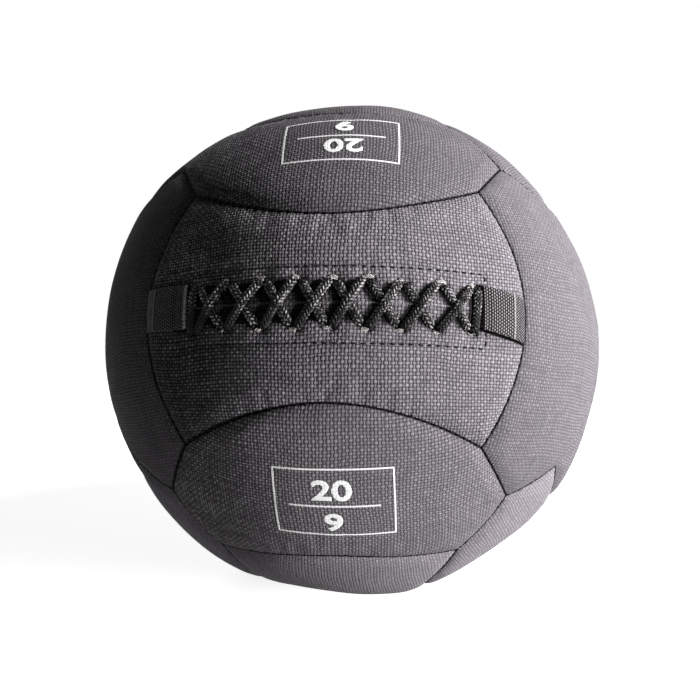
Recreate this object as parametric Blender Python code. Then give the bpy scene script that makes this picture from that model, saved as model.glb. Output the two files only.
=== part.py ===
"""A soft wall ball: eighteen sewn cover panels, a laced closure, and the filling they hold."""

from math import acos, asin, atan, atan2, ceil, cos, hypot, pi, radians, sin, sqrt, tan

import bmesh
import bpy
from mathutils import Matrix, Vector
from mathutils.geometry import intersect_point_line

MM = 0.001

# Whole ball
BALL_DIAMETER = 350 * MM
COVER_THICKNESS = 5 * MM
REST_DEPTH = 2.6 * MM
CLOSURE_TILT = radians(20)

# Seams between the panels
SEAM_GAP = 0.3 * MM
SEAM_DIP = 1.8 * MM
SEAM_ROLL = 12 * MM
SEAT_GAP = 0.3 * MM

# A middle strip's corner, as shares of the ball's radius along and across the strip
CORNER_ALONG_SHARE = 0.476
CORNER_ACROSS_SHARE = 0.42
LONG_EDGE_BOW = radians(11.5)
LONG_EDGE_POWER = 1.95
SHORT_EDGE_BOW = radians(6.7)
SHORT_EDGE_POWER = 1.7
EDGE_SHARES = (0, 0.045, 0.14, 0.26, 0.38, 0.5, 0.62, 0.74, 0.86, 0.955, 1)
SPOKE_SHARES = (0, 0.4, 0.8, 1)

# Lace and its holes, in arc lengths on the cover from the closure's middle
LACE_DIAMETER = 4.2 * MM
LACE_COLUMNS = 9
LACE_PITCH = 19.1 * MM
LACE_ROW_OFFSET = 13.2 * MM
LACE_BITE = 6 * MM
LACE_BEND = 2.8 * MM
LACE_LIFT = 0.5 * MM
RAMP_RUN_SHARE = 0.3
RAMP_HEIGHT_SHARE = 0.7
BITE_DROP_SHARE = 0.72
BITE_RUN_SHARE = 0.62
LACE_HOLE_CLEARANCE = 0.25 * MM
LACE_CROSS_GAP = 0.4 * MM
LACE_HOLE_SIDES = 6
SLIT_WIDTH = 0.6 * MM
KNOT_WIDTH = 5 * MM
KNOT_ROUNDING = 1 * MM

# Closure webbing and cloth
TAB_WIDTH = 25 * MM
TAB_THICKNESS = 2.4 * MM
TAB_TO_LACE = 2.5 * MM
RIGHT_TAB_DROP = 5 * MM
TAB_LENGTH_SHARES = (0, 0.35, 0.65, 0.88, 1)
TAB_WIDTH_STEPS = 3
FACING_THICKNESS = 1.2 * MM
FACING_INNER_EDGE = 7.5 * MM
FACING_OUTER_EDGE = 24 * MM
CLOTH_OVERHANG = 8 * MM
TONGUE_THICKNESS = 1.2 * MM
TONGUE_EDGE = 21 * MM
POCKET_MARGIN = 2 * MM
CLOTH_CELL = 15 * MM

# Liner, bag and filling
LINER_THICKNESS = 12 * MM
BAG_THICKNESS = 1.2 * MM
SACK_RADIUS = 88 * MM
SACK_WALL = 1.2 * MM
NECK_RADIUS = 13 * MM
NECK_LENGTH = 26 * MM
TIE_THICKNESS = 5 * MM
TIE_SIDES = 8
QUARTER_STEPS = 5
LEAST_STEP_SHARE = 0.1

CUT_OVERRUN = 10 * MM
WELD = 0.01 * MM
SMOOTH_ANGLE = radians(40)

RADIUS = BALL_DIAMETER / 2
COVER_INNER = RADIUS - COVER_THICKNESS
CORNER_UP_SHARE = sqrt(1 - CORNER_ALONG_SHARE**2 - CORNER_ACROSS_SHARE**2)
STRIP_LENGTH_ANGLE = 2 * (atan(CORNER_ALONG_SHARE / CORNER_UP_SHARE) + SHORT_EDGE_BOW)
STRIP_WIDTH_ANGLE = 2 * asin(CORNER_ACROSS_SHARE)
ARC_STEP = pi / 2 / QUARTER_STEPS
LEAST_ARC_STEP = LEAST_STEP_SHARE * ARC_STEP


def sagitta(radius, angle):
    """How far a chord over this angle dips below its arc."""
    return radius * (1 - cos(angle / 2))


WIDEST_SHARE = max(b - a for a, b in zip(EDGE_SHARES, EDGE_SHARES[1:]))
PANEL_SAG = sagitta(COVER_INNER, WIDEST_SHARE * hypot(STRIP_LENGTH_ANGLE, STRIP_WIDTH_ANGLE))
CLOTH_SAG = sagitta(COVER_INNER, CLOTH_CELL / COVER_INNER)

LACE_RADIUS = LACE_DIAMETER / 2
LACE_HALF_LENGTH = (LACE_COLUMNS - 1) * LACE_PITCH / 2
LACE_END = LACE_HALF_LENGTH + LACE_BITE / 2 + LACE_RADIUS
CLOTH_HALF_LENGTH = LACE_END + CLOTH_OVERHANG
FACING_OUTER = COVER_INNER - PANEL_SAG - SEAT_GAP
FACING_INNER = FACING_OUTER - FACING_THICKNESS
BITE_LEVEL = FACING_INNER - CLOTH_SAG - SEAT_GAP - LACE_RADIUS
BITE_DROP = LACE_RADIUS * BITE_DROP_SHARE
BITE_RUN = LACE_RADIUS * BITE_RUN_SHARE
TONGUE_OUTER = BITE_LEVEL - LACE_RADIUS - SEAT_GAP
TONGUE_INNER = TONGUE_OUTER - TONGUE_THICKNESS
POCKET_FLOOR = TONGUE_INNER - CLOTH_SAG - SEAT_GAP
LINER_OUTER = FACING_OUTER
LINER_INNER = LINER_OUTER - LINER_THICKNESS
BAG_OUTER = LINER_INNER - SEAT_GAP
BAG_INNER = BAG_OUTER - BAG_THICKNESS
STUFFING_OUTER = BAG_INNER - SEAT_GAP - SEAM_GAP / 2
HOLLOW_RADIUS = SACK_RADIUS + SEAT_GAP + SEAM_GAP / 2
SACK_INNER = SACK_RADIUS - SACK_WALL
NECK_TOP = SACK_RADIUS + NECK_LENGTH
NECK_HOLLOW_RADIUS = NECK_RADIUS + TIE_THICKNESS + 2 * SEAT_GAP + SEAM_GAP
NECK_HOLLOW_TOP = NECK_TOP + SEAT_GAP


def clear_scene():
    for thing in list(bpy.data.objects):
        bpy.data.objects.remove(thing)


def material(name, colour, roughness):
    made = bpy.data.materials.new(name)
    made.use_nodes = True
    shader = made.node_tree.nodes["Principled BSDF"]
    shader.inputs["Base Color"].default_value = (*colour, 1)
    shader.inputs["Roughness"].default_value = roughness
    shader.inputs["Metallic"].default_value = 0
    return made


def place(name, data, look, frame, turn=None):
    thing = bpy.data.objects.new(name, data)
    bpy.context.collection.objects.link(thing)
    if look and not data.materials:
        data.materials.append(look)
    thing.parent = frame
    if turn:
        thing.matrix_basis = turn.to_4x4()
    return thing


def mesh_from(name, points, faces):
    mesh = bpy.data.meshes.new(name)
    mesh.from_pydata([tuple(point) for point in points], [], faces)
    shape = bmesh.new()
    shape.from_mesh(mesh)
    bmesh.ops.remove_doubles(shape, verts=shape.verts, dist=WELD)
    bmesh.ops.recalc_face_normals(shape, faces=shape.faces)
    shape.to_mesh(mesh)
    shape.free()
    mesh.shade_smooth()
    mesh.set_sharp_from_angle(angle=SMOOTH_ANGLE)
    return mesh


def rim_places(rows, columns):
    """The border of a grid, once round, as (row, column)."""
    rim = [(0, c) for c in range(columns)]
    rim += [(r, columns - 1) for r in range(1, rows)]
    rim += [(rows - 1, c) for c in range(columns - 2, -1, -1)]
    rim += [(r, 0) for r in range(rows - 2, 0, -1)]
    return rim


def skin_mesh(name, outer, inner):
    """A closed solid between two grids of points of the same size."""
    rows = len(outer)
    columns = len(outer[0])
    points = [point for row in outer for point in row] + [point for row in inner for point in row]
    under = rows * columns
    faces = []
    for r in range(rows - 1):
        for c in range(columns - 1):
            corner = r * columns + c
            quad = [corner, corner + 1, corner + columns + 1, corner + columns]
            faces.append(quad)
            faces.append([index + under for index in reversed(quad)])
    rim = [r * columns + c for r, c in rim_places(rows, columns)]
    for first, second in zip(rim, rim[1:] + rim[:1]):
        faces.append([second, first, first + under, second + under])
    return mesh_from(name, points, faces)


def turned_mesh(name, path, segments):
    """A path of (radius, height) turned round the Z axis, from axis to axis or as a closed ring."""
    ring = path[0][0] > 0
    count = len(path)
    points = []
    faces = []
    for step in range(segments):
        angle = 2 * pi * step / segments
        points += [Vector((r * cos(angle), r * sin(angle), z)) for r, z in path]
        here = step * count
        there = (step + 1) % segments * count
        for i in range(count if ring else count - 1):
            j = (i + 1) % count
            face = [here + i, here + j, there + j, there + i]
            if path[i][0] == 0:
                face = [here + i, here + j, there + j]
            elif path[j][0] == 0:
                face = [here + i, here + j, there + i]
            faces.append(face)
    return mesh_from(name, points, faces)


def block_mesh(name, size, centre, rounding=0):
    mesh = bpy.data.meshes.new(name)
    shape = bmesh.new()
    bmesh.ops.create_cube(shape, size=1)
    bmesh.ops.scale(shape, vec=size, verts=shape.verts)
    if rounding:
        bmesh.ops.bevel(shape, geom=shape.edges, offset=rounding, segments=2, profile=0.5, affect="EDGES")
    bmesh.ops.translate(shape, vec=centre, verts=shape.verts)
    shape.to_mesh(mesh)
    shape.free()
    return mesh


def cutter(name, mesh, frame=None):
    thing = place(name, mesh, None, frame)
    thing.hide_render = True
    thing.display_type = "WIRE"
    return thing


def cut(thing, tool):
    change = thing.modifiers.new(tool.name, "BOOLEAN")
    change.operation = "DIFFERENCE"
    change.solver = "EXACT"
    change.object = tool


def arc_point(start, end, share):
    angle = acos(start.dot(end))
    return (start * sin((1 - share) * angle) + end * sin(share * angle)) / sin(angle)


def bowed_edge(start, end, outward, bow, power, shares):
    """Directions along a seam that bows sideways off the great circle."""
    side = start.cross(end).normalized()
    if side.dot(outward) < 0:
        side = -side
    line = []
    for share in shares:
        lean = bow * (1 - abs(2 * share - 1) ** power)
        line.append((arc_point(start, end, share) + side * tan(lean)).normalized())
    return line


def strip_corner(along, across):
    return Vector((along * CORNER_ALONG_SHARE, across * CORNER_ACROSS_SHARE, CORNER_UP_SHARE))


def long_edge(side):
    start = strip_corner(-1, side)
    end = strip_corner(1, side)
    return bowed_edge(start, end, Vector((0, -side, 0)), LONG_EDGE_BOW, LONG_EDGE_POWER, EDGE_SHARES)


def short_edge(side, shares=EDGE_SHARES):
    start = strip_corner(side, -1)
    end = strip_corner(side, 1)
    return bowed_edge(start, end, Vector((side, 0, 0)), SHORT_EDGE_BOW, SHORT_EDGE_POWER, shares)


def middle_strip_sides():
    """Bottom, top, left and right seams, and the heights of the rows between them."""
    return long_edge(-1), long_edge(1), short_edge(-1), short_edge(1), EDGE_SHARES


def outer_strip_sides():
    """The strip above the front middle strip, whose side seams turn at a three-strip corner."""
    bottom = long_edge(1)
    top = [Vector((point.y, point.z, point.x)) for point in short_edge(1)]
    sides = []
    for hand, low, high in ((-1, bottom[0], top[0]), (1, bottom[-1], top[-1])):
        middle = Vector((hand, 1, 1)).normalized()
        lower = [arc_point(middle, low, share) for share in reversed(SPOKE_SHARES)]
        upper = [arc_point(middle, high, share) for share in SPOKE_SHARES[1:]]
        sides.append(lower + upper)
    heights = [0.5 - share / 2 for share in reversed(SPOKE_SHARES)]
    heights += [0.5 + share / 2 for share in SPOKE_SHARES[1:]]
    return bottom, top, sides[0], sides[1], heights


def patch(bottom, top, left, right, heights):
    """A grid of directions blended between four seams."""
    rows = []
    for r, v in enumerate(heights):
        row = []
        for c, u in enumerate(EDGE_SHARES):
            edges = bottom[c] * (1 - v) + top[c] * v + left[r] * (1 - u) + right[r] * u
            low = bottom[0] * (1 - u) + bottom[-1] * u
            high = top[0] * (1 - u) + top[-1] * u
            row.append((edges - low * (1 - v) - high * v).normalized())
        rows.append(row)
    return rows


def seam_distance(point, seam):
    nearest = BALL_DIAMETER
    for start, end in zip(seam, seam[1:]):
        foot, share = intersect_point_line(point, start, end)
        if share < 0:
            foot = start
        elif share > 1:
            foot = end
        nearest = min(nearest, (point - foot).length * RADIUS)
    return nearest


def cover_radius(point, seam):
    """The cover's outer radius, which rolls down towards its seams."""
    rise = min(1, seam_distance(point, seam) / SEAM_ROLL)
    return RADIUS - SEAM_DIP * (1 - rise) ** 2


def inset_rim(rows):
    """Draws the border of a grid of directions in by half of the seam gap."""
    rim = rim_places(len(rows), len(rows[0]))
    border = [rows[r][c] for r, c in rim]
    count = len(rim)
    for i, (r, c) in enumerate(rim):
        point = border[i]
        before = point.cross(point - border[i - 1]).normalized()
        after = point.cross(border[(i + 1) % count] - point).normalized()
        mitre = (before + after) / (1 + before.dot(after))
        rows[r][c] = (point + mitre * (SEAM_GAP / 2 / RADIUS)).normalized()


def panel_mesh(name, sides):
    rows = patch(*sides)
    seam = [rows[r][c] for r, c in rim_places(len(rows), len(rows[0]))]
    seam.append(seam[0])
    heights = [[cover_radius(point, seam) for point in row] for row in rows]
    inset_rim(rows)
    outer = [[point * height for point, height in zip(*pair)] for pair in zip(rows, heights)]
    inner = [[point * COVER_INNER for point in row] for row in rows]
    return skin_mesh(name, outer, inner)


def front(x, y):
    """The direction at arc lengths x across and y up from the closure's middle."""
    return Vector((
        sin(x / RADIUS) * cos(y / RADIUS),
        sin(y / RADIUS),
        cos(x / RADIUS) * cos(y / RADIUS),
    ))


def spread(start, end, steps):
    return [start + (end - start) * step / steps for step in range(steps + 1)]


def cloth_mesh(name, half_length, low, high, outer_level, inner_level):
    """A strip of cloth behind the closure, bent to the ball."""
    across = spread(-half_length, half_length, ceil(2 * half_length / CLOTH_CELL))
    up = spread(low, high, ceil((high - low) / CLOTH_CELL))
    outer = [[front(x, y) * outer_level for x in across] for y in up]
    inner = [[front(x, y) * inner_level for x in across] for y in up]
    return skin_mesh(name, outer, inner)


def tab_mesh(name, side, drop):
    """Folded webbing from beside the lace out to the closure panel's side seam."""
    outer = []
    inner = []
    seam = short_edge(side)
    for y in spread(-TAB_WIDTH / 2, TAB_WIDTH / 2, TAB_WIDTH_STEPS):
        end = short_edge(side, [0.5 + (y - drop) / (RADIUS * STRIP_WIDTH_ANGLE)])[0]
        far = RADIUS * atan2(abs(end.x), end.z) - SEAM_GAP
        near = LACE_END + TAB_TO_LACE
        line = [
            front(side * (near + (far - near) * share), y - drop * share)
            for share in TAB_LENGTH_SHARES
        ]
        base = [cover_radius(point, seam) + SEAT_GAP for point in line]
        outer.append([point * (level + TAB_THICKNESS) for point, level in zip(line, base)])
        inner.append([point * level for point, level in zip(line, base)])
    return skin_mesh(name, outer, inner)


def lace_entries():
    """The middle of every lace hole."""
    for column in range(LACE_COLUMNS):
        x = column * LACE_PITCH - LACE_HALF_LENGTH
        for y in (-LACE_ROW_OFFSET, LACE_ROW_OFFSET):
            for half_bite in (-LACE_BITE / 2, LACE_BITE / 2):
                yield x + half_bite, y


def lace_hole_mesh():
    hole_radius = (LACE_RADIUS + LACE_HOLE_CLEARANCE) / cos(pi / LACE_HOLE_SIDES)
    bottom = FACING_INNER - CUT_OVERRUN
    depth = RADIUS + CUT_OVERRUN - bottom
    mesh = bpy.data.meshes.new("lace_holes")
    shape = bmesh.new()
    for x, y in lace_entries():
        axis = front(x, y)
        turn = axis.to_track_quat("Z", "Y").to_matrix().to_4x4()
        bmesh.ops.create_cone(
            shape, cap_ends=True, segments=LACE_HOLE_SIDES, radius1=hole_radius, radius2=hole_radius,
            depth=depth, matrix=Matrix.Translation(axis * (bottom + depth / 2)) @ turn,
        )
    shape.to_mesh(mesh)
    shape.free()
    return mesh


def strand(start, end):
    """The points of one stretch of lace on the cover, from hole to hole."""
    run = Vector((end[0] - start[0], end[1] - start[1]))
    lean = run.normalized() * LACE_BEND
    shoulder = LACE_LIFT + LACE_BEND
    low = LACE_RADIUS + SEAT_GAP
    high = low + LACE_DIAMETER + LACE_CROSS_GAP
    crosses_over = run.x * run.y > 0
    points = [front(*start) * (RADIUS + LACE_LIFT)]
    points.append(front(start[0] + lean.x, start[1] + lean.y) * (RADIUS + shoulder))
    if crosses_over:
        ramp = shoulder + (high - shoulder) * RAMP_HEIGHT_SHARE
        stages = ((RAMP_RUN_SHARE, ramp), (0.5, high), (1 - RAMP_RUN_SHARE, ramp))
    else:
        stages = ((0.5, low),)
    for share, height in stages:
        points.append(front(start[0] + run.x * share, start[1] + run.y * share) * (RADIUS + height))
    points.append(front(end[0] - lean.x, end[1] - lean.y) * (RADIUS + shoulder))
    points.append(front(*end) * (RADIUS + LACE_LIFT))
    return points


def bite(start, end):
    """The points where the lace dips behind the cover between two holes."""
    run = BITE_RUN if end[0] > start[0] else -BITE_RUN
    return [
        front(*start) * (BITE_LEVEL + BITE_DROP),
        front(start[0] + run, start[1]) * BITE_LEVEL,
        front(end[0] - run, end[1]) * BITE_LEVEL,
        front(*end) * (BITE_LEVEL + BITE_DROP),
    ]


def lace_route():
    """One cord: up at the right end, zigzag to the left end, down, and zigzag back."""
    half_bite = LACE_BITE / 2
    last = LACE_COLUMNS - 1

    def place_at(column, row):
        return column * LACE_PITCH - LACE_HALF_LENGTH, row * LACE_ROW_OFFSET

    leftward = [place_at(c, 1 if c % 2 == last % 2 else -1) for c in range(last, -1, -1)]
    rightward = [place_at(c, -1 if c % 2 == last % 2 else 1) for c in range(last + 1)]
    knot = place_at(last, -1)
    holes = [(knot[0] + half_bite, knot[1])]
    holes += [(x + hand * half_bite, y) for x, y in leftward for hand in (1, -1)]
    holes += [(x + hand * half_bite, y) for x, y in rightward for hand in (-1, 1)][:-1]
    end_level = BITE_LEVEL + LACE_RADIUS + SEAT_GAP
    points = [front(*holes[0]) * end_level]
    for i in range(0, len(holes) - 1, 2):
        points += strand(holes[i], holes[i + 1])
        if i + 2 < len(holes):
            points += bite(holes[i + 1], holes[i + 2])
    points.append(front(*holes[-1]) * end_level)
    return points


def lace_curve(name):
    curve = bpy.data.curves.new(name, "CURVE")
    curve.dimensions = "3D"
    curve.bevel_depth = LACE_RADIUS
    curve.bevel_resolution = 2
    curve.use_fill_caps = True
    route = lace_route()
    spline = curve.splines.new("POLY")
    spline.points.add(len(route) - 1)
    for point, spot in zip(spline.points, route):
        point.co = (*spot, 1)
    return curve


def bowl_mesh(name, outer, inner):
    """Half of a round shell, open downwards, with its pole on +Z."""
    angles = [ARC_STEP * step for step in range(QUARTER_STEPS + 1)]
    path = [(outer * sin(angle), outer * cos(angle)) for angle in angles]
    path += [(inner * sin(angle), inner * cos(angle)) for angle in reversed(angles)]
    path = [(r, z + SEAM_GAP / 2) for r, z in path]
    path[0] = (0, path[0][1])
    path[-1] = (0, path[-1][1])
    return turned_mesh(name, path, 4 * QUARTER_STEPS)


def chord_radius(radius, angle):
    """The radius of a faceted ball whose rings lie at whole steps."""
    middle = (int(angle / ARC_STEP) + 0.5) * ARC_STEP
    return radius * cos(ARC_STEP / 2) / cos(angle - middle)


def hollow_radius(angle):
    """The stuffing's hollow: a ball with a round chamber above it for the sack's neck."""
    ball = chord_radius(HOLLOW_RADIUS, angle)
    if angle >= pi / 2:
        return ball
    top = NECK_HOLLOW_TOP / cos(angle)
    side = NECK_HOLLOW_RADIUS / sin(angle) if angle else top
    return max(ball, min(top, side))


def stuffing_mesh(name):
    """Half of the stuffing, on the +X side."""
    chamber = [0, atan2(NECK_HOLLOW_RADIUS, NECK_HOLLOW_TOP), asin(NECK_HOLLOW_RADIUS / HOLLOW_RADIUS)]
    rings = [ARC_STEP * step for step in range(1, 2 * QUARTER_STEPS + 1)]
    angles = chamber + [angle for angle in rings if angle > chamber[-1] + LEAST_ARC_STEP]
    turns = [-pi / 2 + ARC_STEP * step for step in range(2 * QUARTER_STEPS + 1)]
    outer = []
    inner = []
    for angle in reversed(angles):
        ring = [Vector((sin(angle) * cos(t), sin(angle) * sin(t), cos(angle))) for t in turns]
        outer.append([point * chord_radius(STUFFING_OUTER, angle) for point in ring])
        inner.append([point * hollow_radius(angle) for point in ring])
    mesh = skin_mesh(name, outer, inner)
    mesh.transform(Matrix.Translation((SEAM_GAP / 2, 0, 0)))
    return mesh


def ball_arc(radius, start):
    """A faceted ball's outline from the angle start below the pole down to the bottom."""
    rings = [ARC_STEP * step for step in range(1, 2 * QUARTER_STEPS + 1)]
    angles = [start] + [angle for angle in rings if angle > start + LEAST_ARC_STEP]
    path = [(radius * sin(angle), radius * cos(angle)) for angle in angles]
    first = chord_radius(radius, start)
    path[0] = (first * sin(start), first * cos(start))
    path[-1] = (0, -radius)
    return path


def sack_mesh(name):
    outer = ball_arc(SACK_RADIUS, asin(NECK_RADIUS / SACK_RADIUS))
    inner = ball_arc(SACK_INNER, asin((NECK_RADIUS - SACK_WALL) / SACK_INNER))
    neck = [(NECK_RADIUS - SACK_WALL, NECK_TOP), (NECK_RADIUS, NECK_TOP)]
    return turned_mesh(name, inner[::-1] + neck + outer, 4 * QUARTER_STEPS)


def sand_mesh(name):
    fill_radius = SACK_INNER - SEAT_GAP
    path = ball_arc(fill_radius, asin((NECK_RADIUS - SACK_WALL - SEAT_GAP) / fill_radius))
    return turned_mesh(name, [(0, path[0][1])] + path, 4 * QUARTER_STEPS)


def tie_mesh(name):
    middle = NECK_RADIUS + SEAT_GAP + TIE_THICKNESS / 2
    ring = []
    for step in range(TIE_SIDES):
        angle = 2 * pi * step / TIE_SIDES
        height = SACK_RADIUS + NECK_LENGTH / 2 + TIE_THICKNESS / 2 * sin(angle)
        ring.append((middle + TIE_THICKNESS / 2 * cos(angle), height))
    return turned_mesh(name, ring, 4 * QUARTER_STEPS)


def turned_to_face(face, flip):
    """Turns the front face's strips to another face, then half way round an axis."""
    forward = {
        "front": Matrix(((1, 0, 0), (0, 1, 0), (0, 0, 1))),
        "right": Matrix(((0, 0, 1), (1, 0, 0), (0, 1, 0))),
        "top": Matrix(((0, 1, 0), (0, 0, 1), (1, 0, 0))),
    }
    return Matrix.Diagonal(flip) @ forward[face]


AS_IS = (1, 1, 1)
ABOUT_X = (1, -1, -1)
ABOUT_Y = (-1, 1, -1)
ABOUT_Z = (-1, -1, 1)

MIDDLE_STRIPS = (
    ("front", "front", AS_IS), ("back", "front", ABOUT_Y),
    ("right", "right", AS_IS), ("left", "right", ABOUT_Z),
    ("top", "top", AS_IS), ("bottom", "top", ABOUT_X),
)
OUTER_STRIPS = (
    ("front_upper", "front", AS_IS), ("front_lower", "front", ABOUT_Z),
    ("back_upper", "front", ABOUT_Y), ("back_lower", "front", ABOUT_X),
    ("right_fore", "right", AS_IS), ("right_rear", "right", ABOUT_X),
    ("left_fore", "right", ABOUT_Z), ("left_rear", "right", ABOUT_Y),
    ("top_right", "top", AS_IS), ("top_left", "top", ABOUT_Y),
    ("bottom_right", "top", ABOUT_X), ("bottom_left", "top", ABOUT_Z),
)


def build_cover(frame, holes):
    look = material("coated_fabric", (0.055, 0.051, 0.056), 0.55)
    middle = panel_mesh("middle_strip", middle_strip_sides())
    outer = panel_mesh("outer_strip", outer_strip_sides())
    for name, face, flip in MIDDLE_STRIPS:
        panel = place(f"cover_{name}_middle", middle, look, frame, turned_to_face(face, flip))
        if name == "front":
            slit_half = RADIUS * sin(LACE_HALF_LENGTH / RADIUS)
            size = (2 * slit_half, SLIT_WIDTH, RADIUS)
            slit = cutter("closure_slit", block_mesh("closure_slit", size, (0, 0, RADIUS)), frame)
            cut(panel, slit)
            cut(panel, holes)
        elif name == "bottom":
            size = (BALL_DIAMETER, BALL_DIAMETER, RADIUS)
            cut(panel, cutter("floor", block_mesh("floor", size, (0, 0, -RADIUS / 2))))
    for name, face, flip in OUTER_STRIPS:
        place(f"cover_{name}", outer, look, frame, turned_to_face(face, flip))


def build_closure(frame, holes):
    webbing = material("webbing", (0.03, 0.028, 0.03), 0.6)
    cloth = material("backing_cloth", (0.09, 0.09, 0.09), 0.8)
    cord = material("lace_cord", (0.012, 0.012, 0.012), 0.4)
    for name, side, drop in (("left", -1, 0), ("right", 1, RIGHT_TAB_DROP)):
        place(f"webbing_tab_{name}", tab_mesh(f"tab_{name}", side, drop), webbing, frame)
    for name, side in (("upper", 1), ("lower", -1)):
        low, high = sorted((side * FACING_INNER_EDGE, side * FACING_OUTER_EDGE))
        mesh = cloth_mesh(f"facing_{name}", CLOTH_HALF_LENGTH, low, high, FACING_OUTER, FACING_INNER)
        cut(place(f"closure_facing_{name}", mesh, cloth, frame), holes)
    tongue = cloth_mesh(
        "tongue", CLOTH_HALF_LENGTH, -TONGUE_EDGE, TONGUE_EDGE, TONGUE_OUTER, TONGUE_INNER
    )
    place("tongue_flap", tongue, cloth, frame)
    place("lace", lace_curve("lace"), cord, frame)
    size = (LACE_BITE + LACE_DIAMETER, KNOT_WIDTH, LACE_DIAMETER)
    knot = place("lace_knot", block_mesh("lace_knot", size, (0, 0, 0), KNOT_ROUNDING), cord, frame)
    spot = front(LACE_HALF_LENGTH, -LACE_ROW_OFFSET)
    across = front(LACE_HALF_LENGTH + LACE_BITE, -LACE_ROW_OFFSET) - spot
    up = spot.cross(across).normalized()
    knot.matrix_basis = Matrix.LocRotScale(
        spot * BITE_LEVEL, Matrix((up.cross(spot), up, spot)).transposed(), None
    )


def build_filling(frame):
    foam = material("foam_liner", (0.5, 0.48, 0.42), 0.9)
    canvas = material("canvas_bag", (0.35, 0.33, 0.28), 0.85)
    fibre = material("fibre_stuffing", (0.6, 0.58, 0.55), 0.95)
    sand = material("sand_weight", (0.45, 0.36, 0.24), 0.95)
    half_length = CLOTH_HALF_LENGTH + POCKET_MARGIN
    edge = FACING_OUTER_EDGE + POCKET_MARGIN
    pocket = cloth_mesh("pocket", half_length, -edge, edge, RADIUS + CUT_OVERRUN, POCKET_FLOOR)
    liner = bowl_mesh("liner_half", LINER_OUTER, LINER_INNER)
    bag = bowl_mesh("bag_half", BAG_OUTER, BAG_INNER)
    stuffing = stuffing_mesh("stuffing_half")
    back = Matrix.Diagonal(ABOUT_Y)
    cut(place("foam_liner_front", liner, foam, frame), cutter("closure_pocket", pocket, frame))
    place("foam_liner_back", liner, foam, frame, back)
    place("inner_bag_front", bag, canvas, frame)
    place("inner_bag_back", bag, canvas, frame, back)
    place("stuffing_right", stuffing, fibre, frame)
    place("stuffing_left", stuffing, fibre, frame, Matrix.Diagonal(ABOUT_Z))
    place("core_sack", sack_mesh("core_sack"), canvas, frame)
    place("core_sand", sand_mesh("core_sand"), sand, frame)
    place("sack_tie", tie_mesh("sack_tie"), material("tie_cord", (0.2, 0.18, 0.15), 0.8), frame)


def build_ball():
    frame = bpy.data.objects.new("ball_frame", None)
    bpy.context.collection.objects.link(frame)
    frame.location = (0, 0, RADIUS - REST_DEPTH)
    frame.rotation_euler = (pi / 2 - CLOSURE_TILT, 0, 0)
    holes = cutter("lace_holes", lace_hole_mesh(), frame)
    build_cover(frame, holes)
    build_closure(frame, holes)
    build_filling(frame)


clear_scene()
build_ball()
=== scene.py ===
import math
import random

import bmesh
import bpy
import numpy as np
from mathutils import Matrix, Vector, kdtree, noise
from mathutils.bvhtree import BVHTree


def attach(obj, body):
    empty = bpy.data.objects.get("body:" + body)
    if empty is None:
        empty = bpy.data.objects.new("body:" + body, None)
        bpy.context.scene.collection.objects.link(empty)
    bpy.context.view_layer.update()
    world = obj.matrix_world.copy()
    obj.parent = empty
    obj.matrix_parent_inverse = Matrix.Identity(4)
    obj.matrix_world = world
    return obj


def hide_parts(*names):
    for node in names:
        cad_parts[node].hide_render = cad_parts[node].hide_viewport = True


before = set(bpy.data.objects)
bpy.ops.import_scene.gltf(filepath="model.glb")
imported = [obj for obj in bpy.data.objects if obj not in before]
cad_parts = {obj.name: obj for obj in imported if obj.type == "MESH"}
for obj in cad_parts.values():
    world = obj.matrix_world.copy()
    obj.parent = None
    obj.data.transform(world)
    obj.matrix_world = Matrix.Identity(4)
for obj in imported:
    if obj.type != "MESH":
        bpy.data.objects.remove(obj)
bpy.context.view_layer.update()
print("frame loaded:", len(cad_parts), "nodes")

mm = 0.001  # sizes below are in millimetres and become metres where a mesh is made

ball = {
    "radius": 175.0,
    "closureTilt": 20.0,      # degrees that the lacing looks up
    "centreHeight": 172.4,    # the ball sinks 2.6 onto its rest patch
    "coverThickness": 1.6, "padFill": 0.9,
    "rayFrom": 20.0, "holeFloor": 4.0,      # a ray to the cover starts so far outside it, and ends so far in at a hole
}
radius = ball["radius"]
middlePoint = Vector((0, 0, ball["centreHeight"] * mm))


def deselectAll():
    if bpy.context.object and bpy.context.object.mode != "OBJECT":
        bpy.ops.object.mode_set(mode="OBJECT")
    bpy.ops.object.select_all(action="DESELECT")


def unit(vectors):
    return vectors / np.linalg.norm(vectors, axis=-1, keepdims=True)


def ballTurn():
    tilt = math.radians(ball["closureTilt"])
    return np.array(((1, 0, 0), (0, math.sin(tilt), -math.cos(tilt)), (0, math.cos(tilt), math.sin(tilt))))


def toRow(points):
    # from the ball's own axes (across, up, out of the lacing), in mm, to the row frame in metres
    return (np.asarray(points) @ ballTurn().T + np.array((0, 0, ball["centreHeight"]))) * mm


def frontWay(x, y):
    # the direction at arc lengths x and y from the middle of the lacing
    x = np.asarray(x, float) / radius
    y = np.asarray(y, float) / radius
    return np.stack((np.sin(x) * np.cos(y), np.sin(y), np.cos(x) * np.cos(y)), -1)


def finishPiece(piece, replaced=(), padFill=None):
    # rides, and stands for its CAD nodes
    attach(piece, "root")
    if replaced:
        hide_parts(*replaced)


def applyModifiers(piece):
    deselectAll()
    piece.select_set(True)
    bpy.context.view_layer.objects.active = piece
    for change in list(piece.modifiers):
        bpy.ops.object.modifier_apply(modifier=change.name)
    piece.select_set(False)


def linked(name, data):
    piece = bpy.data.objects.new(name, data)
    bpy.context.collection.objects.link(piece)
    return piece


def fromShape(name, shape):
    mesh = bpy.data.meshes.new(name)
    shape.to_mesh(mesh)
    shape.free()
    return linked(name, mesh)


def newGrid(columns, rows, size=1):
    deselectAll()
    bpy.ops.mesh.primitive_grid_add(x_subdivisions=columns - 1, y_subdivisions=rows - 1, size=size)
    return bpy.context.object


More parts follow.
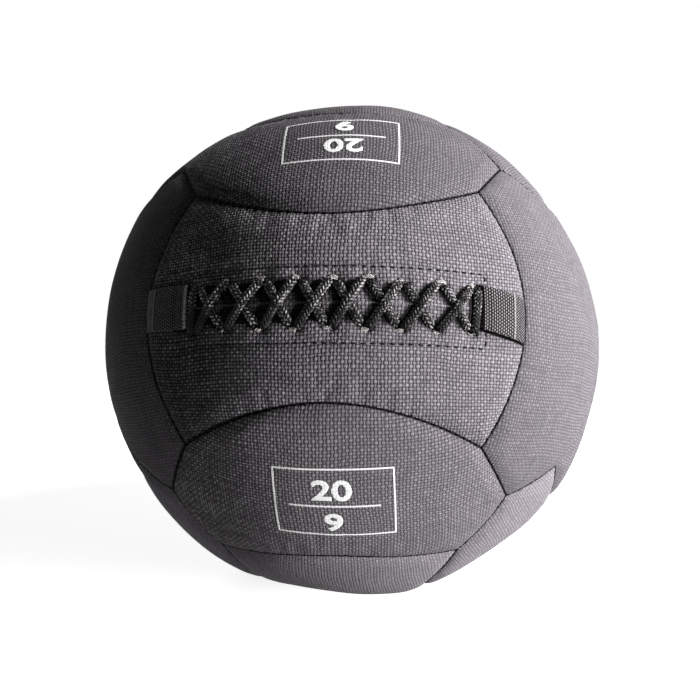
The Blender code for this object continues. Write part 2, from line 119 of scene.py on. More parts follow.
def dress(piece, look):
    piece.data.materials.append(look)
    piece.data.shade_smooth()


def thicken(piece, thickness):
    # a wall inward from the surface
    wall = piece.modifiers.new("wall", "SOLIDIFY")
    wall.thickness = thickness * mm
    wall.offset = -1


def setMap(piece, name, places):
    # the piece's one UV map, from a place for each vertex
    while piece.data.uv_layers:
        piece.data.uv_layers.remove(piece.data.uv_layers[0])
    corners = np.zeros(len(piece.data.loops), int)
    piece.data.loops.foreach_get("vertex_index", corners)
    piece.data.uv_layers.new(name=name).data.foreach_set("uv", np.array(places)[corners].reshape(-1))


def setValue(piece, name, values):
    made = piece.data.attributes.new(name, "FLOAT", "POINT")
    made.data.foreach_set("value", values.astype(np.float32))


def bell(offset, width):
    return np.exp(-(offset / width) ** 2)


def runLengths(points):
    return np.concatenate(([0], np.cumsum(np.linalg.norm(np.diff(points, axis=0), axis=1))))


def readAlong(at, lengths, points):
    return np.stack([np.interp(at, lengths, points[:, k]) for k in range(3)], -1)


def mathsNode(operation):
    def method(self, *others):
        return self.node("ShaderNodeMath", {"operation": operation}, dict(enumerate((self, *others))))
    return method


class Wire:
    # a socket of a material's tree: plain maths on wires adds the Math nodes
    def __init__(self, tree, socket=None):
        self.tree = tree
        self.socket = socket

    def node(self, kind, settings=None, inputs=None, output=0):
        made = self.tree.nodes.new(kind)
        for name, value in (settings or {}).items():
            setattr(made, name, value)
        for name, value in (inputs or {}).items():
            if isinstance(value, Wire):
                self.tree.links.new(value.socket, made.inputs[name])
            else:
                made.inputs[name].default_value = value
        return Wire(self.tree, made.outputs[output])

    __add__ = __radd__ = mathsNode("ADD")
    __sub__ = mathsNode("SUBTRACT")
    __mul__ = __rmul__ = mathsNode("MULTIPLY")
    __truediv__ = mathsNode("DIVIDE")
    __pow__ = mathsNode("POWER")
    __abs__ = mathsNode("ABSOLUTE")
    __gt__ = mathsNode("GREATER_THAN")
    __lt__ = mathsNode("LESS_THAN")
    sine = mathsNode("SINE")
    floor = mathsNode("FLOOR")
    fract = mathsNode("FRACT")
    smallest = mathsNode("MINIMUM")
    largest = mathsNode("MAXIMUM")

    def __rsub__(self, other):
        return self.node("ShaderNodeMath", {"operation": "SUBTRACT"}, {0: other, 1: self})

    def ease(self, low, high):
        return self.node(
            "ShaderNodeMapRange", {"interpolation_type": "SMOOTHSTEP"},
            {"Value": self, "From Min": low, "From Max": high},
        )

    def blend(self, first, second):
        # a colour between two, this wire being the share of the second
        return self.node("ShaderNodeMix", {"data_type": "RGBA"}, {0: self, 6: first, 7: second}, 2)

    def noise(self, place, scale, detail=1.0, roughness=0.5, dimensions="3D"):
        return self.node(
            "ShaderNodeTexNoise", {"noise_dimensions": dimensions},
            {"Vector": place, "Scale": scale, "Detail": detail, "Roughness": roughness},
        )

    def flatNoise(self, x, y, scale, detail=1.0):
        place = self.node("ShaderNodeCombineXYZ", None, {"X": x, "Y": y, "Z": 0.0})
        return self.noise(place, scale, detail, 0.5, "2D")

    def attribute(self, name):
        return self.node("ShaderNodeAttribute", {"attribute_name": name}, None, "Fac")

    def objectPlace(self):
        return self.node("ShaderNodeTexCoord", None, None, "Object")


def grey(value, tint=(1, 1, 1)):
    return (value * tint[0], value * tint[1], value * tint[2], 1)


def newLook(name, roughness, specular=0.5):
    # a material with its shader's fixed values, and the wire that its tree starts from
    look = bpy.data.materials.new(name)
    look.use_nodes = True
    inputs = look.node_tree.nodes["Principled BSDF"].inputs
    inputs["Roughness"].default_value = roughness
    inputs["Metallic"].default_value = 0.0
    inputs["Specular IOR Level"].default_value = specular
    return look, Wire(look.node_tree)


def join(wire, shader, socket):
    wire.tree.links.new(wire.socket, shader.inputs[socket])


def finishLook(look, tone, height, depth, strength=1.0):
    # the colour, and the bump for what is too fine for the mesh
    shader = look.node_tree.nodes["Principled BSDF"]
    bump = tone.node("ShaderNodeBump", None, {"Strength": strength, "Distance": depth * mm, "Height": height})
    join(tone, shader, "Base Color")
    join(bump, shader, "Normal")
    return look


def mapXY(start, name):
    place = start.node("ShaderNodeUVMap", {"uv_map": name})
    parts = place.node("ShaderNodeSeparateXYZ", None, {0: place})
    return parts, Wire(start.tree, parts.socket.node.outputs[1])


coverLook = {
    "yarnPitch": 1.905, "broad": 0.47, "narrow": 0.37,      # the yarns' half widths, across and up, in pitches
    "acrossRise": (0.5, 0.75), "upRise": (0.42, 0.66),      # how far yarns rise and fall, and their middle height
    "shades": (0.3, 0.3, 0.5, 0.45),      # shares of each column's, row's and float's own shade, and what is even
    "yarnFrom": (0.25, 0.85), "crestFrom": (0.85, 1.25), "cloud": 0.25, "cloudScale": 0.035,
    "sway": 7.0, "swayScale": 0.014, "shake": 1.1, "shakeScale": 0.42,      # how far yarns wander, in mm
    "gapColour": (0.030, 0.027, 0.030, 1), "yarnColour": (0.19, 0.174, 0.19, 1),
    "crestColour": (0.34, 0.316, 0.34, 1), "middleColour": (0.15, 0.139, 0.151, 1),
    "paintedShade": 0.004, "tuckShade": 0.006, "relief": 0.5, "roughness": 0.52, "specular": 0.003,
    "paintedWeaveSpan": (-95.0, 5.0), "slitHalf": 76.0,
    "tuck": ((84.0, -11.1), (115.5, -17.6)),      # the right tab's lower edge on the cloth
}


def clothWeave(start, x, y):
    # a plain weave: broad yarns across and narrow ones up, over and under each other in turn
    sway, shake = coverLook["swayScale"], coverLook["shakeScale"]
    swayX = (start.flatNoise(x, y, sway) - 0.5) * coverLook["sway"]
    swayY = (start.flatNoise(x + 170.0, y, sway) - 0.5) * coverLook["sway"]
    shakeX = (start.flatNoise(x, y * 0.15, shake) - 0.5) * coverLook["shake"]
    shakeY = (start.flatNoise(x * 0.15, y + 60.0, shake) - 0.5) * coverLook["shake"]
    u = (x + swayX + shakeX) / coverLook["yarnPitch"]
    v = (y + swayY + shakeY) / coverLook["yarnPitch"]
    column, row = u.floor(), v.floor()
    turn = ((column + row) * 0.5).fract() * 4.0 - 1.0
    acrossLift = (u.fract() * math.pi).sine() * turn
    upLift = (v.fract() * math.pi).sine() * turn * -1.0
    offRow = (v.fract() - 0.5) / coverLook["broad"]
    offColumn = (u.fract() - 0.5) / coverLook["narrow"]
    yarns = ((offRow, acrossLift, coverLook["acrossRise"]), (offColumn, upLift, coverLook["upRise"]))
    across, up = ((1 - off * off).largest(0.0) ** 0.5 * (lift * rise + level) for off, lift, (rise, level) in yarns)
    return across.largest(up), across > up, column, row


def buildCoverLook(name, paintedLightScale, contrast, paintedWeaveLight=0.0, slitEdge=False, seamShadeReach=1.05):
    # the cuts of the cloth are painted lighter or darker for how the light falls on each, and differ in how strongly
    # the weave shows
    look, start = newLook(name, coverLook["roughness"], coverLook["specular"])
    middle = np.array(coverLook["middleColour"])
    gap, yarn, crest = (
        [*((np.array(coverLook[part]) * contrast + middle * (1 - contrast)) * paintedLightScale)[:3], 1]
        for part in ("gapColour", "yarnColour", "crestColour")
    )
    x, y = mapXY(start, "panelMap")
    height, onTop, column, row = clothWeave(start, x, y)
    # each yarn and each float has its own shade
    columnShade = start.flatNoise(column * 5.3, y * 0.06, 1.0)
    rowShade = start.flatNoise(x * 0.06, row * 4.7, 1.0)
    floatShade = start.flatNoise(column * 2.1, row * 3.3, 1.0, 0.0)
    ofColumn, ofRow, ofFloat, even = coverLook["shades"]
    level = height * (columnShade * ofColumn + rowShade * ofRow + floatShade * ofFloat + even)
    cloud = start.flatNoise(x, y, coverLook["cloudScale"], 3.0)
    # colour follows the weave's height: the gaps are painted darker as shade in the hollows and the crests paler as a
    # highlight on the tops
    tone = level.ease(*coverLook["yarnFrom"]).blend(gap, yarn)
    tone = (level.ease(*coverLook["crestFrom"]) * (onTop * 0.6 + 0.4)).blend(tone, crest)
    tone = (cloud * coverLook["cloud"]).blend(tone, grey(0.1 * paintedLightScale, (1.0, 0.93, 1.03)))
    reach = start.attribute("reach")
    if paintedWeaveLight:
        # painted shade and highlight towards the left, where the light grazes: the gaps darker, the crests paler and
        # the seams' painted shade wider
        left = 1 - (x * math.copysign(1, paintedWeaveLight)).ease(*coverLook["paintedWeaveSpan"])
        seamShadeReach = left * 1.1 + seamShadeReach
        tone = (left * (1 - level.ease(0.45, 1.0)) * abs(paintedWeaveLight) * 0.8).blend(tone, grey(0.006))
        tone = (left * level.ease(0.95, 1.3) * abs(paintedWeaveLight) * 0.75).blend(tone, grey(0.8))
    # painted shade along the seams, darkest in their creases
    tone = (1 - reach.ease(0.25, seamShadeReach)).blend(tone, grey(coverLook["paintedShade"]))
    if slitEdge:
        # painted light towards the left: paler crests above the lacing, painted shade below it and on the roll under
        # the upper seam
        tone = (left * (1 - y.ease(-30.0, 10.0)) * 0.5).blend(tone, grey(0.02))
        tone = (left * y.ease(-5.0, 25.0) * level.ease(0.7, 1.2) * 0.5).blend(tone, grey(0.9))
        tone = (left * (1 - reach.ease(1.0, 17.0)) * (y > 0.0) * 0.4).blend(tone, grey(0.03))
        # painted shadow beside and to the left of the lace strands, and worn pale along the slit
        paintedShade = start.attribute("paintedShade")
        tone = paintedShade.blend(tone, grey(coverLook["paintedShade"]))
        near = (1 - abs(y).ease(0.3, 0.75)) * (abs(x) < coverLook["slitHalf"])
        tone = (near * (1 - paintedShade * 0.4) * 0.55).blend(tone, grey(0.3))
        # painted shadow on the cover along the right tab's lower edge
        (x0, y0), (x1, y1) = coverLook["tuck"]
        drop = y - (x - x0) * ((y1 - y0) / (x1 - x0)) - y0
        along = (x > x0 - 2.0) * (x < x1) * drop.ease(-1.5, -0.9) * (drop < 1.0)
        tone = along.blend(tone, grey(coverLook["tuckShade"]))
    return finishLook(look, tone, level, coverLook["relief"] * contrast)


webbingLook = {
    "across": 1.45, "tall": 1.75, "step": 0.46, "finer": 0.2, "relief": 0.35, "roughness": 0.45, "specular": 0.03,
    "dark": (0.012, 0.011, 0.012, 1), "ground": (0.085, 0.077, 0.081, 1), "light": (0.36, 0.335, 0.35, 1),
    "foldAt": 104.2,
}


def buildWebbingLook():
    look, start = newLook("webbingTwill", webbingLook["roughness"], webbingLook["specular"])
    x, y = mapXY(start, "tabMap")
    dark, light, foldAt = webbingLook["dark"], webbingLook["light"], webbingLook["foldAt"]
    # columns of short floats, each column a half step up from the last; beyond the fold they run finer
    finer = (abs(x) > foldAt) * webbingLook["finer"] + 1.0
    u = x * finer / webbingLook["across"]
    v = y * finer / webbingLook["tall"] + u.floor() * webbingLook["step"]
    offU, offV = u.fract() - 0.5, v.fract() - 0.5
    dot = 1 - (offU * offU * 7.5 + offV * offV * 4.5) ** 0.5
    fibre = start.flatNoise(x * 2.0, y, 1.3)
    level = dot.largest(0.0) * (fibre * 0.6 + 0.7)
    tone = level.ease(0.0, 0.3).blend(dark, webbingLook["ground"])
    tone = level.ease(0.3, 0.7).blend(tone, light)
    # painted shade: the left tab, on the side away from the light, is darker, most of all beyond its fold
    tone = ((x < 0.0) * (1 - level.ease(0.25, 0.65)) * 0.6).blend(tone, dark)
    tone = ((x < -foldAt) * 0.6).blend(tone, dark)
    crease = 1 - abs(abs(x) - foldAt).ease(0.2, 0.8)
    tone = (crease * fibre.ease(0.3, 0.5) * 0.8).blend(tone, light)
    return finishLook(look, tone, level, webbingLook["relief"])


def buildFibreLook(name, dark, light, scale, roughness):
    # cords, threads and loose fibre: fine streaks of two tones
    look, start = newLook(name, roughness, 0.05)
    place = start.objectPlace()
    streak = start.noise(place, scale, 3.0, 0.65)
    fine = start.noise(place, scale * 3.1)
    tone = (streak * 0.65 + fine * 0.35).ease(0.42, 0.66).blend(dark, light)
    return finishLook(look, tone, streak, 0.1, 0.8)


def buildLaceLook():
    # glossy black fibre: the top of each plait is painted pale as a glint
    look, start = newLook("laceBraid", 0.35, 0.06)
    crest = start.attribute("crest")
    place = start.objectPlace()
    streak = start.noise(place, 900.0)
    patch = start.noise(place, 240.0)
    paintedGlint = crest.ease(0.58, 1.0) * streak.ease(0.38, 0.56) * patch.ease(0.3, 0.58)
    # towards the left end the painted glints are smaller and paler
    leftward = place.node("ShaderNodeSeparateXYZ", None, {0: place}).ease(-0.01, -0.07)
    paintedGlint = paintedGlint * (1 - leftward * (1 - crest.ease(0.75, 0.97)))
    pale = leftward.blend((0.4, 0.38, 0.39, 1), (0.95, 0.92, 0.93, 1))
    tone = paintedGlint.blend((0.015, 0.014, 0.015, 1), pale)
    return finishLook(look, tone, streak, 0.06, 0.6)


def buildInkLook():
    # screen print: the weave shows through it
    look, start = newLook("printInk", 0.45)
    height = clothWeave(start, *mapXY(start, "panelMap"))[0]
    return finishLook(look, height.ease(0.1, 0.6).blend(grey(0.75), grey(0.97)), height, 0.1, 0.6)


looks = {
    # painted light: each cut's colours are scaled lighter or darker for how the light falls on it, the under panels
    # lightest
    "cover": buildCoverLook("coatedWeave", 0.86, 0.55),
    "coverLeft": buildCoverLook("coatedWeaveLeft", 0.82, 0.75, seamShadeReach=1.7),
    "coverUpper": buildCoverLook("coatedWeaveUpper", 0.8, 0.7, 0.7),
    "coverLower": buildCoverLook("coatedWeaveLower", 1.0, 0.7, -0.7),
    "coverUnder": buildCoverLook("coatedWeaveUnder", 1.3, 0.5),
    "coverFront": buildCoverLook("coatedWeaveFront", 1.06, 0.88, 0.85, True),
    "webbing": buildWebbingLook(),
    "lace": buildLaceLook(),
    "thread": buildFibreLook("darkThread", (0.006, 0.006, 0.007, 1), (0.03, 0.029, 0.032, 1), 1800.0, 0.45),
    "fray": buildFibreLook("backingFray", (0.5, 0.485, 0.465, 1), (0.85, 0.83, 0.8, 1), 1500.0, 0.7),
    "whip": buildFibreLook("selvageThread", (0.45, 0.44, 0.44, 1), (0.85, 0.83, 0.82, 1), 1500.0, 0.5),
    "ink": buildInkLook(),
}
print("materials ready:", len(looks))


camera = {
    "azimuth": 4.57, "elevation": 12.12, "roll": -0.81,
    "distance": 535.6, "lens": 36.56, "slide": (-0.75, -0.38),
}


def turnTo(azimuth, elevation):
    # turns what looks down the Z axis so that it looks in from this side
    around = Matrix.Rotation(math.radians(azimuth), 4, "Z")
    return around @ Matrix.Rotation(math.pi / 2 - math.radians(elevation), 4, "X")


def cameraTurn():
    return turnTo(camera["azimuth"], camera["elevation"]) @ Matrix.Rotation(math.radians(camera["roll"]), 4, "Z")


def buildCamera():
    data = bpy.data.cameras.new("photoCamera")
    data.lens = camera["lens"]
    data.sensor_width = 36.0
    data.clip_start = 0.01
    eye = linked("photoCamera", data)
    back = Matrix.Translation((camera["slide"][0] * mm, camera["slide"][1] * mm, camera["distance"] * mm))
    eye.matrix_world = Matrix.Translation(middlePoint) @ cameraTurn() @ back
    bpy.context.scene.camera = eye


buildCamera()


seams = {
    "cornerAlong": 0.476, "cornerAcross": 0.42, "outerTilt": 34.4,      # the outer strips' middles, in degrees
    "longBow": 11.5, "longPower": 1.95, "shortBow": 6.7, "shortPower": 1.7,
    "softDip": 1.4, "softRoll": 10.5,     # the wide, shallow fall towards a seam
    "edgeRound": 1.0, "edgeDrop": 3.0,    # the turned-in edge
    "gap": 0.4, "stitchPitch": 5.0, "stitchPull": 0.45, "pullReach": 2.2, "pullSharp": 6,
    "puckerHeight": 0.12, "puckerFrom": 2.0, "puckerReach": 7.0, "puckerLengths": (8.0, 11.0, 17.0),
}
lumps = {
    # angle round the outline in the photograph, height, width in degrees
    "outline": (
        (3, 1.5, 13), (38, -1.0, 16), (66, -0.7, 10), (98, -1.5, 15), (142, 3.2, 13), (160, 0.8, 12),
        (206, -1.6, 14), (240, 0.9, 9), (261, -2.7, 11), (285, 1.4, 7), (305, -1.4, 9), (328, 1.6, 14),
    ),
    "handMade": 0.6, "scales": ((3.1, 1.0), (7.3, 0.5)),      # soft unevenness of the filling
}


def arcPoint(start, end, share):
    angle = np.arccos(start @ end)
    share = np.asarray(share, float)[..., None]
    return (start * np.sin((1 - share) * angle) + end * np.sin(share * angle)) / np.sin(angle)


def bowedEdge(start, end, outward, bow, power, share):
    side = unit(np.cross(start, end))
    if side @ outward < 0:
        side = -side
    lean = math.radians(bow) * (1 - np.abs(2 * share - 1) ** power)
    return unit(arcPoint(start, end, share) + side * np.tan(lean)[..., None])


def stripCorner(along, across):
    rise = math.sqrt(1 - seams["cornerAlong"] ** 2 - seams["cornerAcross"] ** 2)
    return np.array((along * seams["cornerAlong"], across * seams["cornerAcross"], rise))


def longEdge(side, share):
    ends = stripCorner(-1, side), stripCorner(1, side)
    return bowedEdge(*ends, np.array((0, -side, 0)), seams["longBow"], seams["longPower"], share)


def shortEdge(side, share):
    ends = stripCorner(side, -1), stripCorner(side, 1)
    return bowedEdge(*ends, np.array((side, 0, 0)), seams["shortBow"], seams["shortPower"], share)


def middleStrip(u, v):
    return longEdge(-1, u), longEdge(1, u), shortEdge(-1, v), shortEdge(1, v)


def spokePair(low, middle, high, v):
    lower = arcPoint(middle, low, np.clip(1 - 2 * v, 0, 1))
    upper = arcPoint(middle, high, np.clip(2 * v - 1, 0, 1))
    return np.where((v < 0.5)[..., None], lower, upper)


def outerStrip(u, v):
    bottom = longEdge(1, u)
    top = shortEdge(1, u)[..., (1, 2, 0)]
    sides = []
    for hand, column in ((-1, 0), (1, -1)):
        middle = unit(np.array((hand, 1.0, 1.0)))
        sides.append(spokePair(bottom[column], middle, top[column], v))
    return bottom, top, sides[0], sides[1]


def blendPatch(strip, u, v):
    # directions over a panel, blended between its four seams
    bottom, top, left, right = strip(u, v)
    a = u[None, :, None]
    b = v[:, None, None]
    edges = bottom[None] * (1 - b) + top[None] * b + left[:, None] * (1 - a) + right[:, None] * a
    low = bottom[0] * (1 - a) + bottom[-1] * a
    high = top[0] * (1 - a) + top[-1] * a
    return unit(edges - low * (1 - b) - high * b)


def shareSteps(length, cell, inner=()):
    # shares along a panel: close rows at its rolled edges and at its slit, even cells between them
    edge = (0.0, 0.06, 0.3, 0.7, 1.3, 2.4)
    room = length / 2 - edge[-1] - (inner[-1] if inner else 0.0)
    count = max(2, round(room / cell))
    half = [*edge, *(edge[-1] + room * step / count for step in range(1, count + 1))]
    half += [length / 2 - step for step in inner[-2::-1]]
    mirrored = half if inner else half[:-1]
    return np.array(half + [length - step for step in reversed(mirrored)]) / length


def seamReach(directions, strip):
    # for every direction: how far the nearest seam is, and how far along the border that is
    share = np.linspace(0, 1, 361)
    bottom, top, left, right = strip(share, share)
    border = np.concatenate((bottom[:-1], right[:-1], top[:0:-1], left[:0:-1])) * radius
    steps = np.linalg.norm(border - np.roll(border, 1, 0), axis=1)
    along = np.cumsum(steps)
    tree = kdtree.KDTree(len(border))
    for index, point in enumerate(border):
        tree.insert(point, index)
    tree.balance()
    reach = np.zeros(len(directions))
    place = np.zeros(len(directions))
    for i, point in enumerate(directions * radius):
        foot, index, far = tree.find(point)
        before = border[index - 1]
        after = border[(index + 1) % len(border)]
        line = unit(after - before)
        offset = point - np.array(foot)
        reach[i] = np.linalg.norm(offset - line * np.clip(offset @ line, -0.8, 0.8))
        place[i] = along[index] + offset @ line
    return reach, place


def waves(places, seed, lengths):
    # an even mix of sines with fixed, seeded phases
    dice = random.Random(seed)
    total = np.zeros(len(places))
    for length in lengths:
        phase = dice.uniform(0, 2 * math.pi)
        total += np.sin(places * 2 * math.pi / (length * dice.uniform(0.85, 1.15)) + phase)
    return total / len(lengths)


def outlineAxes():
    turn = np.array(cameraTurn().to_3x3())
    tip = math.acos(radius / camera["distance"])
    ways = []
    for angle, height, width in lumps["outline"]:
        t = math.radians(angle)
        ways.append(math.sin(tip) * (math.cos(t) * turn[:, 0] + math.sin(t) * turn[:, 1]) + math.cos(tip) * turn[:, 2])
    return np.array(ways)


lumpWays = outlineAxes()


def softLumps(rowWays):
    total = np.zeros(len(rowWays))
    for way, (angle, height, width) in zip(lumpWays, lumps["outline"]):
        apart = np.arccos(np.clip(rowWays @ way, -1, 1))
        total += height * bell(apart, math.radians(width))
    rough = [sum(share * noise.noise(Vector(way) * scale) for scale, share in lumps["scales"]) for way in rowWays]
    return total + np.array(rough) * lumps["handMade"]


def edgeFall(reach):
    soft = seams["softDip"] * (1 - np.minimum(1, reach / seams["softRoll"])) ** 2
    r = seams["edgeRound"]
    inside = np.clip(r - reach, 0, r)
    return soft + r - np.sqrt(np.maximum(r * r - inside ** 2, 0))


turnForward = {
    "front": np.array(((1, 0, 0), (0, 1, 0), (0, 0, 1))),
    "right": np.array(((0, 0, 1), (1, 0, 0), (0, 1, 0))),
    "top": np.array(((0, 1, 0), (0, 0, 1), (1, 0, 0))),
}
asIs, aboutX, aboutY, aboutZ = (1, 1, 1), (1, -1, -1), (-1, 1, -1), (-1, -1, 1)
middlePanels = (
    ("front", "front", asIs), ("back", "front", aboutY), ("right", "right", asIs),
    ("left", "right", aboutZ), ("top", "top", asIs), ("bottom", "top", aboutX),
)
outerPanels = (
    ("front_upper", "front", asIs), ("front_lower", "front", aboutZ),
    ("back_upper", "front", aboutY), ("back_lower", "front", aboutX),
    ("right_fore", "right", asIs), ("right_rear", "right", aboutX),
    ("left_fore", "right", aboutZ), ("left_rear", "right", aboutY),
    ("top_right", "top", asIs), ("top_left", "top", aboutY),
    ("bottom_right", "top", aboutX), ("bottom_left", "top", aboutZ),
)

lacing = {
    "columns": 9, "pitch": 19.1, "rowOffset": 13.2, "rowTuck": 1.2, "bite": 4.4, "inward": 1.8,
    "holeReach": 1.6, "dimple": 1.5, "dimpleWidth": 1.9, "groove": 1.4, "grooveWidth": 2.0,
    "slitHalf": 76.4, "slitOpen": 0.08, "slitSoft": 1.2,
    "lipRise": 0.8, "lipReach": 8.0, "lipEdge": 0.4, "lipEdgeReach": 0.55,
    "fold": 0.5, "foldWidth": 2.2, "foldSpread": 0.35, "foldReach": 6.0,      # the creases outward from an anchor
    "puff": 0.25, "puffAside": (7.0, 3.0), "puffOut": (2.0, 5.0),      # where it swells beside one, and how wide
    "boxHalf": 87.0, "boxTop": 19.4, "boxBottom": -20.8, "boxDip": 0.6,
    # how far each anchor sits right of its even place and further out than its row, top row then bottom row
    "topShift": (
        (3.4, 0.2), (4.0, 0.6), (5.3, 0.2), (4.7, 0.6), (4.0, 0.1), (1.9, 0.7), (1.7, -0.8), (2.8, -0.3), (3.5, -0.9),
    ),
    "bottomShift": (
        (1.5, 0.4), (1.6, -0.4), (3.2, 0.1), (2.6, 0.1), (1.7, -0.4), (0.9, 0.0), (0.1, 0.4), (0.0, 0.6), (1.3, 0.5),
    ),
}


def laceAnchor(column, row):
    # the middle of an anchor's two holes; each sits a little off its even place
    shiftX, outward = lacing["topShift" if row > 0 else "bottomShift"][column]
    x = (column - (lacing["columns"] - 1) / 2) * lacing["pitch"]
    return x + shiftX, row * (lacing["rowOffset"] + outward - lacing["rowTuck"])


def laceHole(column, row, hand):
    # the holes that the lower strands of the crosses end in sit nearer to the slit
    x, y = laceAnchor(column, row)
    crossed = hand == row and column != (lacing["columns"] - 1 if row > 0 else 0)
    return x + hand * lacing["bite"] / 2, y - row * (lacing["inward"] if crossed else 0)


def holePlaces():
    return [laceHole(c, row, hand) for c in range(lacing["columns"]) for row in (-1, 1) for hand in (-1, 1)]


def strandLines():
    # the ends of every strand of the lacing that shows
    last = lacing["columns"] - 1
    lines = [(laceHole(column, 1, hand), laceHole(column, -1, hand)) for column, hand in ((0, -1), (last, 1))]
    for column in range(last):
        for row in (-1, 1):
            lines.append((laceHole(column, row, 1), laceHole(column + 1, -row, -1)))
    return np.array(lines)


# the lace strands' painted shadow on the cover: how dark it is and how far it reaches
laceShadow = {
    "depth": 0.93, "soft": 1.3, "below": 1.0, "above": 0.6, "right": 1.6,      # how far past a strand it goes
    # at this x, so far left of a strand
    "reach": ((-76.0, 14.0), (-45.0, 11.0), (-15.0, 9.0), (20.0, 7.8), (76.0, 6.4)),
}


def shadowBeside(x, y):
    # painted shadow: the cover is darkened under each lace strand and for a way to its left, as the light from the
    # right would throw it, further towards the left
    soft = laceShadow["soft"]
    far = np.interp(x, *zip(*laceShadow["reach"]))
    dark = np.zeros_like(x)
    for (x0, y0), (x1, y1) in strandLines():
        low, high = min(y0, y1), max(y0, y1)
        within = np.clip((y - low + laceShadow["below"]) / soft, 0, 1)
        within = within * np.clip((high + laceShadow["above"] - y) / soft, 0, 1)
        left = x0 + (x1 - x0) * np.clip((y - y0) / (y1 - y0), 0, 1) - x
        band = np.clip((far - left) / soft, 0, 1) * np.clip((left + laceShadow["right"]) / soft, 0, 1)
        dark = np.maximum(dark, band * within)
    return dark * laceShadow["depth"]


def closureRelief(x, y):
    # what the lacing, its slit and its stitch line do to the front panel
    within = 1 / (1 + np.exp((np.abs(x) - lacing["slitHalf"] - 1) / lacing["slitSoft"]))
    lift = lacing["lipRise"] * bell(y, lacing["lipReach"]) * within
    lift += lacing["lipEdge"] * bell(y, lacing["lipEdgeReach"]) * within
    # each strand beds itself into the soft cover
    bed = np.zeros_like(lift)
    for (x0, y0), (x1, y1) in strandLines():
        run = np.array((x1 - x0, y1 - y0))
        share = np.clip(((x - x0) * run[0] + (y - y0) * run[1]) / (run @ run), 0, 1)
        far = np.hypot(x - x0 - run[0] * share, y - y0 - run[1] * share)
        bed = np.maximum(bed, bell(far, lacing["grooveWidth"]))
    lift -= lacing["groove"] * bed
    for hx, hy in holePlaces():
        lift -= lacing["dimple"] * bell(np.hypot(x - hx, y - hy), lacing["dimpleWidth"])
    for column in range(lacing["columns"]):
        for row in (-1, 1):
            ax, ay = laceAnchor(column, row)
            beyond = (y - ay) * row
            outer = np.maximum(beyond, 0)
            width = lacing["foldWidth"] + outer * lacing["foldSpread"]
            fold = bell(x - ax, width) * np.exp(-outer / lacing["foldReach"])
            lift -= lacing["fold"] * fold * (beyond > -3)
            (aside, wide), (away, deep) = lacing["puffAside"], lacing["puffOut"]
            lift += lacing["puff"] * (bell(np.abs(x - ax) - aside, wide) * bell(beyond - away, deep))
    half, top, bottom = lacing["boxHalf"], lacing["boxTop"], lacing["boxBottom"]
    side = np.where((y < top + 1) & (y > bottom - 1), np.abs(np.abs(x) - half), 9)
    level = np.where(np.abs(x) < half + 1, np.minimum(np.abs(y - top), np.abs(y - bottom)), 9)
    return lift - lacing["boxDip"] * bell(np.minimum(side, level), 1.0)


swell = {
    "columns": 45, "rows": 33, "frames": 18, "quality": 6, "mass": 0.1,
    "pressure": 1.5, "stretch": 15.0, "bend": 0.4,
    "spare": 0.006, "most": 1.3,      # how much cloth there is to spare, and the most that it moves in mm
}


def swellCloth(strip):
    # the cover pinned along its sewn seams and pressed out by the filling: how far it moves, in mm
    columns, rows = swell["columns"], swell["rows"]
    directions = blendPatch(strip, np.linspace(0, 1, columns), np.linspace(0, 1, rows))
    cloth = newGrid(columns, rows)
    cloth.data.vertices.foreach_set("co", (directions * radius * mm).reshape(-1))
    cloth.data.update()
    seam = np.ones((rows, columns), bool)
    seam[1:-1, 1:-1] = False
    cloth.vertex_groups.new(name="seam").add(np.nonzero(seam.reshape(-1))[0].tolist(), 1.0, "REPLACE")
    change = cloth.modifiers.new("swell", "CLOTH")
    rule = change.settings
    rule.quality = swell["quality"]
    rule.mass = swell["mass"]
    rule.tension_stiffness = rule.compression_stiffness = rule.shear_stiffness = swell["stretch"]
    rule.bending_stiffness = swell["bend"]
    rule.vertex_group_mass = "seam"
    rule.shrink_min = -swell["spare"]
    rule.use_pressure = True
    rule.uniform_pressure_force = swell["pressure"]
    rule.effector_weights.gravity = 0
    change.collision_settings.use_collision = False
    change.point_cache.frame_end = swell["frames"]
    for step in range(1, swell["frames"] + 1):
        bpy.context.scene.frame_set(step)
    settled = cloth.evaluated_get(bpy.context.evaluated_depsgraph_get()).to_mesh()
    spots = np.zeros(columns * rows * 3)
    settled.vertices.foreach_get("co", spots)
    moved = np.linalg.norm(spots.reshape(rows, columns, 3), axis=-1) / mm - radius
    bpy.context.scene.frame_set(1)
    bpy.data.objects.remove(cloth)
    print("cloth settled: moved", round(float(moved.min()), 2), "to", round(float(moved.max()), 2), "mm")
    return np.clip(moved, -swell["most"], swell["most"])


def spreadField(field, across, up):
    # the settled cloth's field read at a panel's own rows and columns
    rows = np.stack([np.interp(across, np.linspace(0, 1, field.shape[1]), line) for line in field])
    return np.stack([np.interp(up, np.linspace(0, 1, field.shape[0]), rows[:, k]) for k in range(len(across))], 1)


def panelCentre(strip):
    angle = 0.0 if strip is middleStrip else math.radians(seams["outerTilt"])
    return np.array((0, math.sin(angle), math.cos(angle)))


def flatPlace(directions, strip):
    # where a direction falls on the flat cloth, in mm from the panel's middle
    centre = panelCentre(strip)
    ex = np.array((1.0, 0, 0))
    ey = np.cross(centre, ex)
    off = directions - (directions @ centre)[:, None] * centre
    angle = np.arccos(np.clip(directions @ centre, -1, 1))
    size = np.maximum(np.linalg.norm(off, axis=1), 1e-9)
    return np.stack((off @ ex, off @ ey), 1) * (angle / size * radius)[:, None]


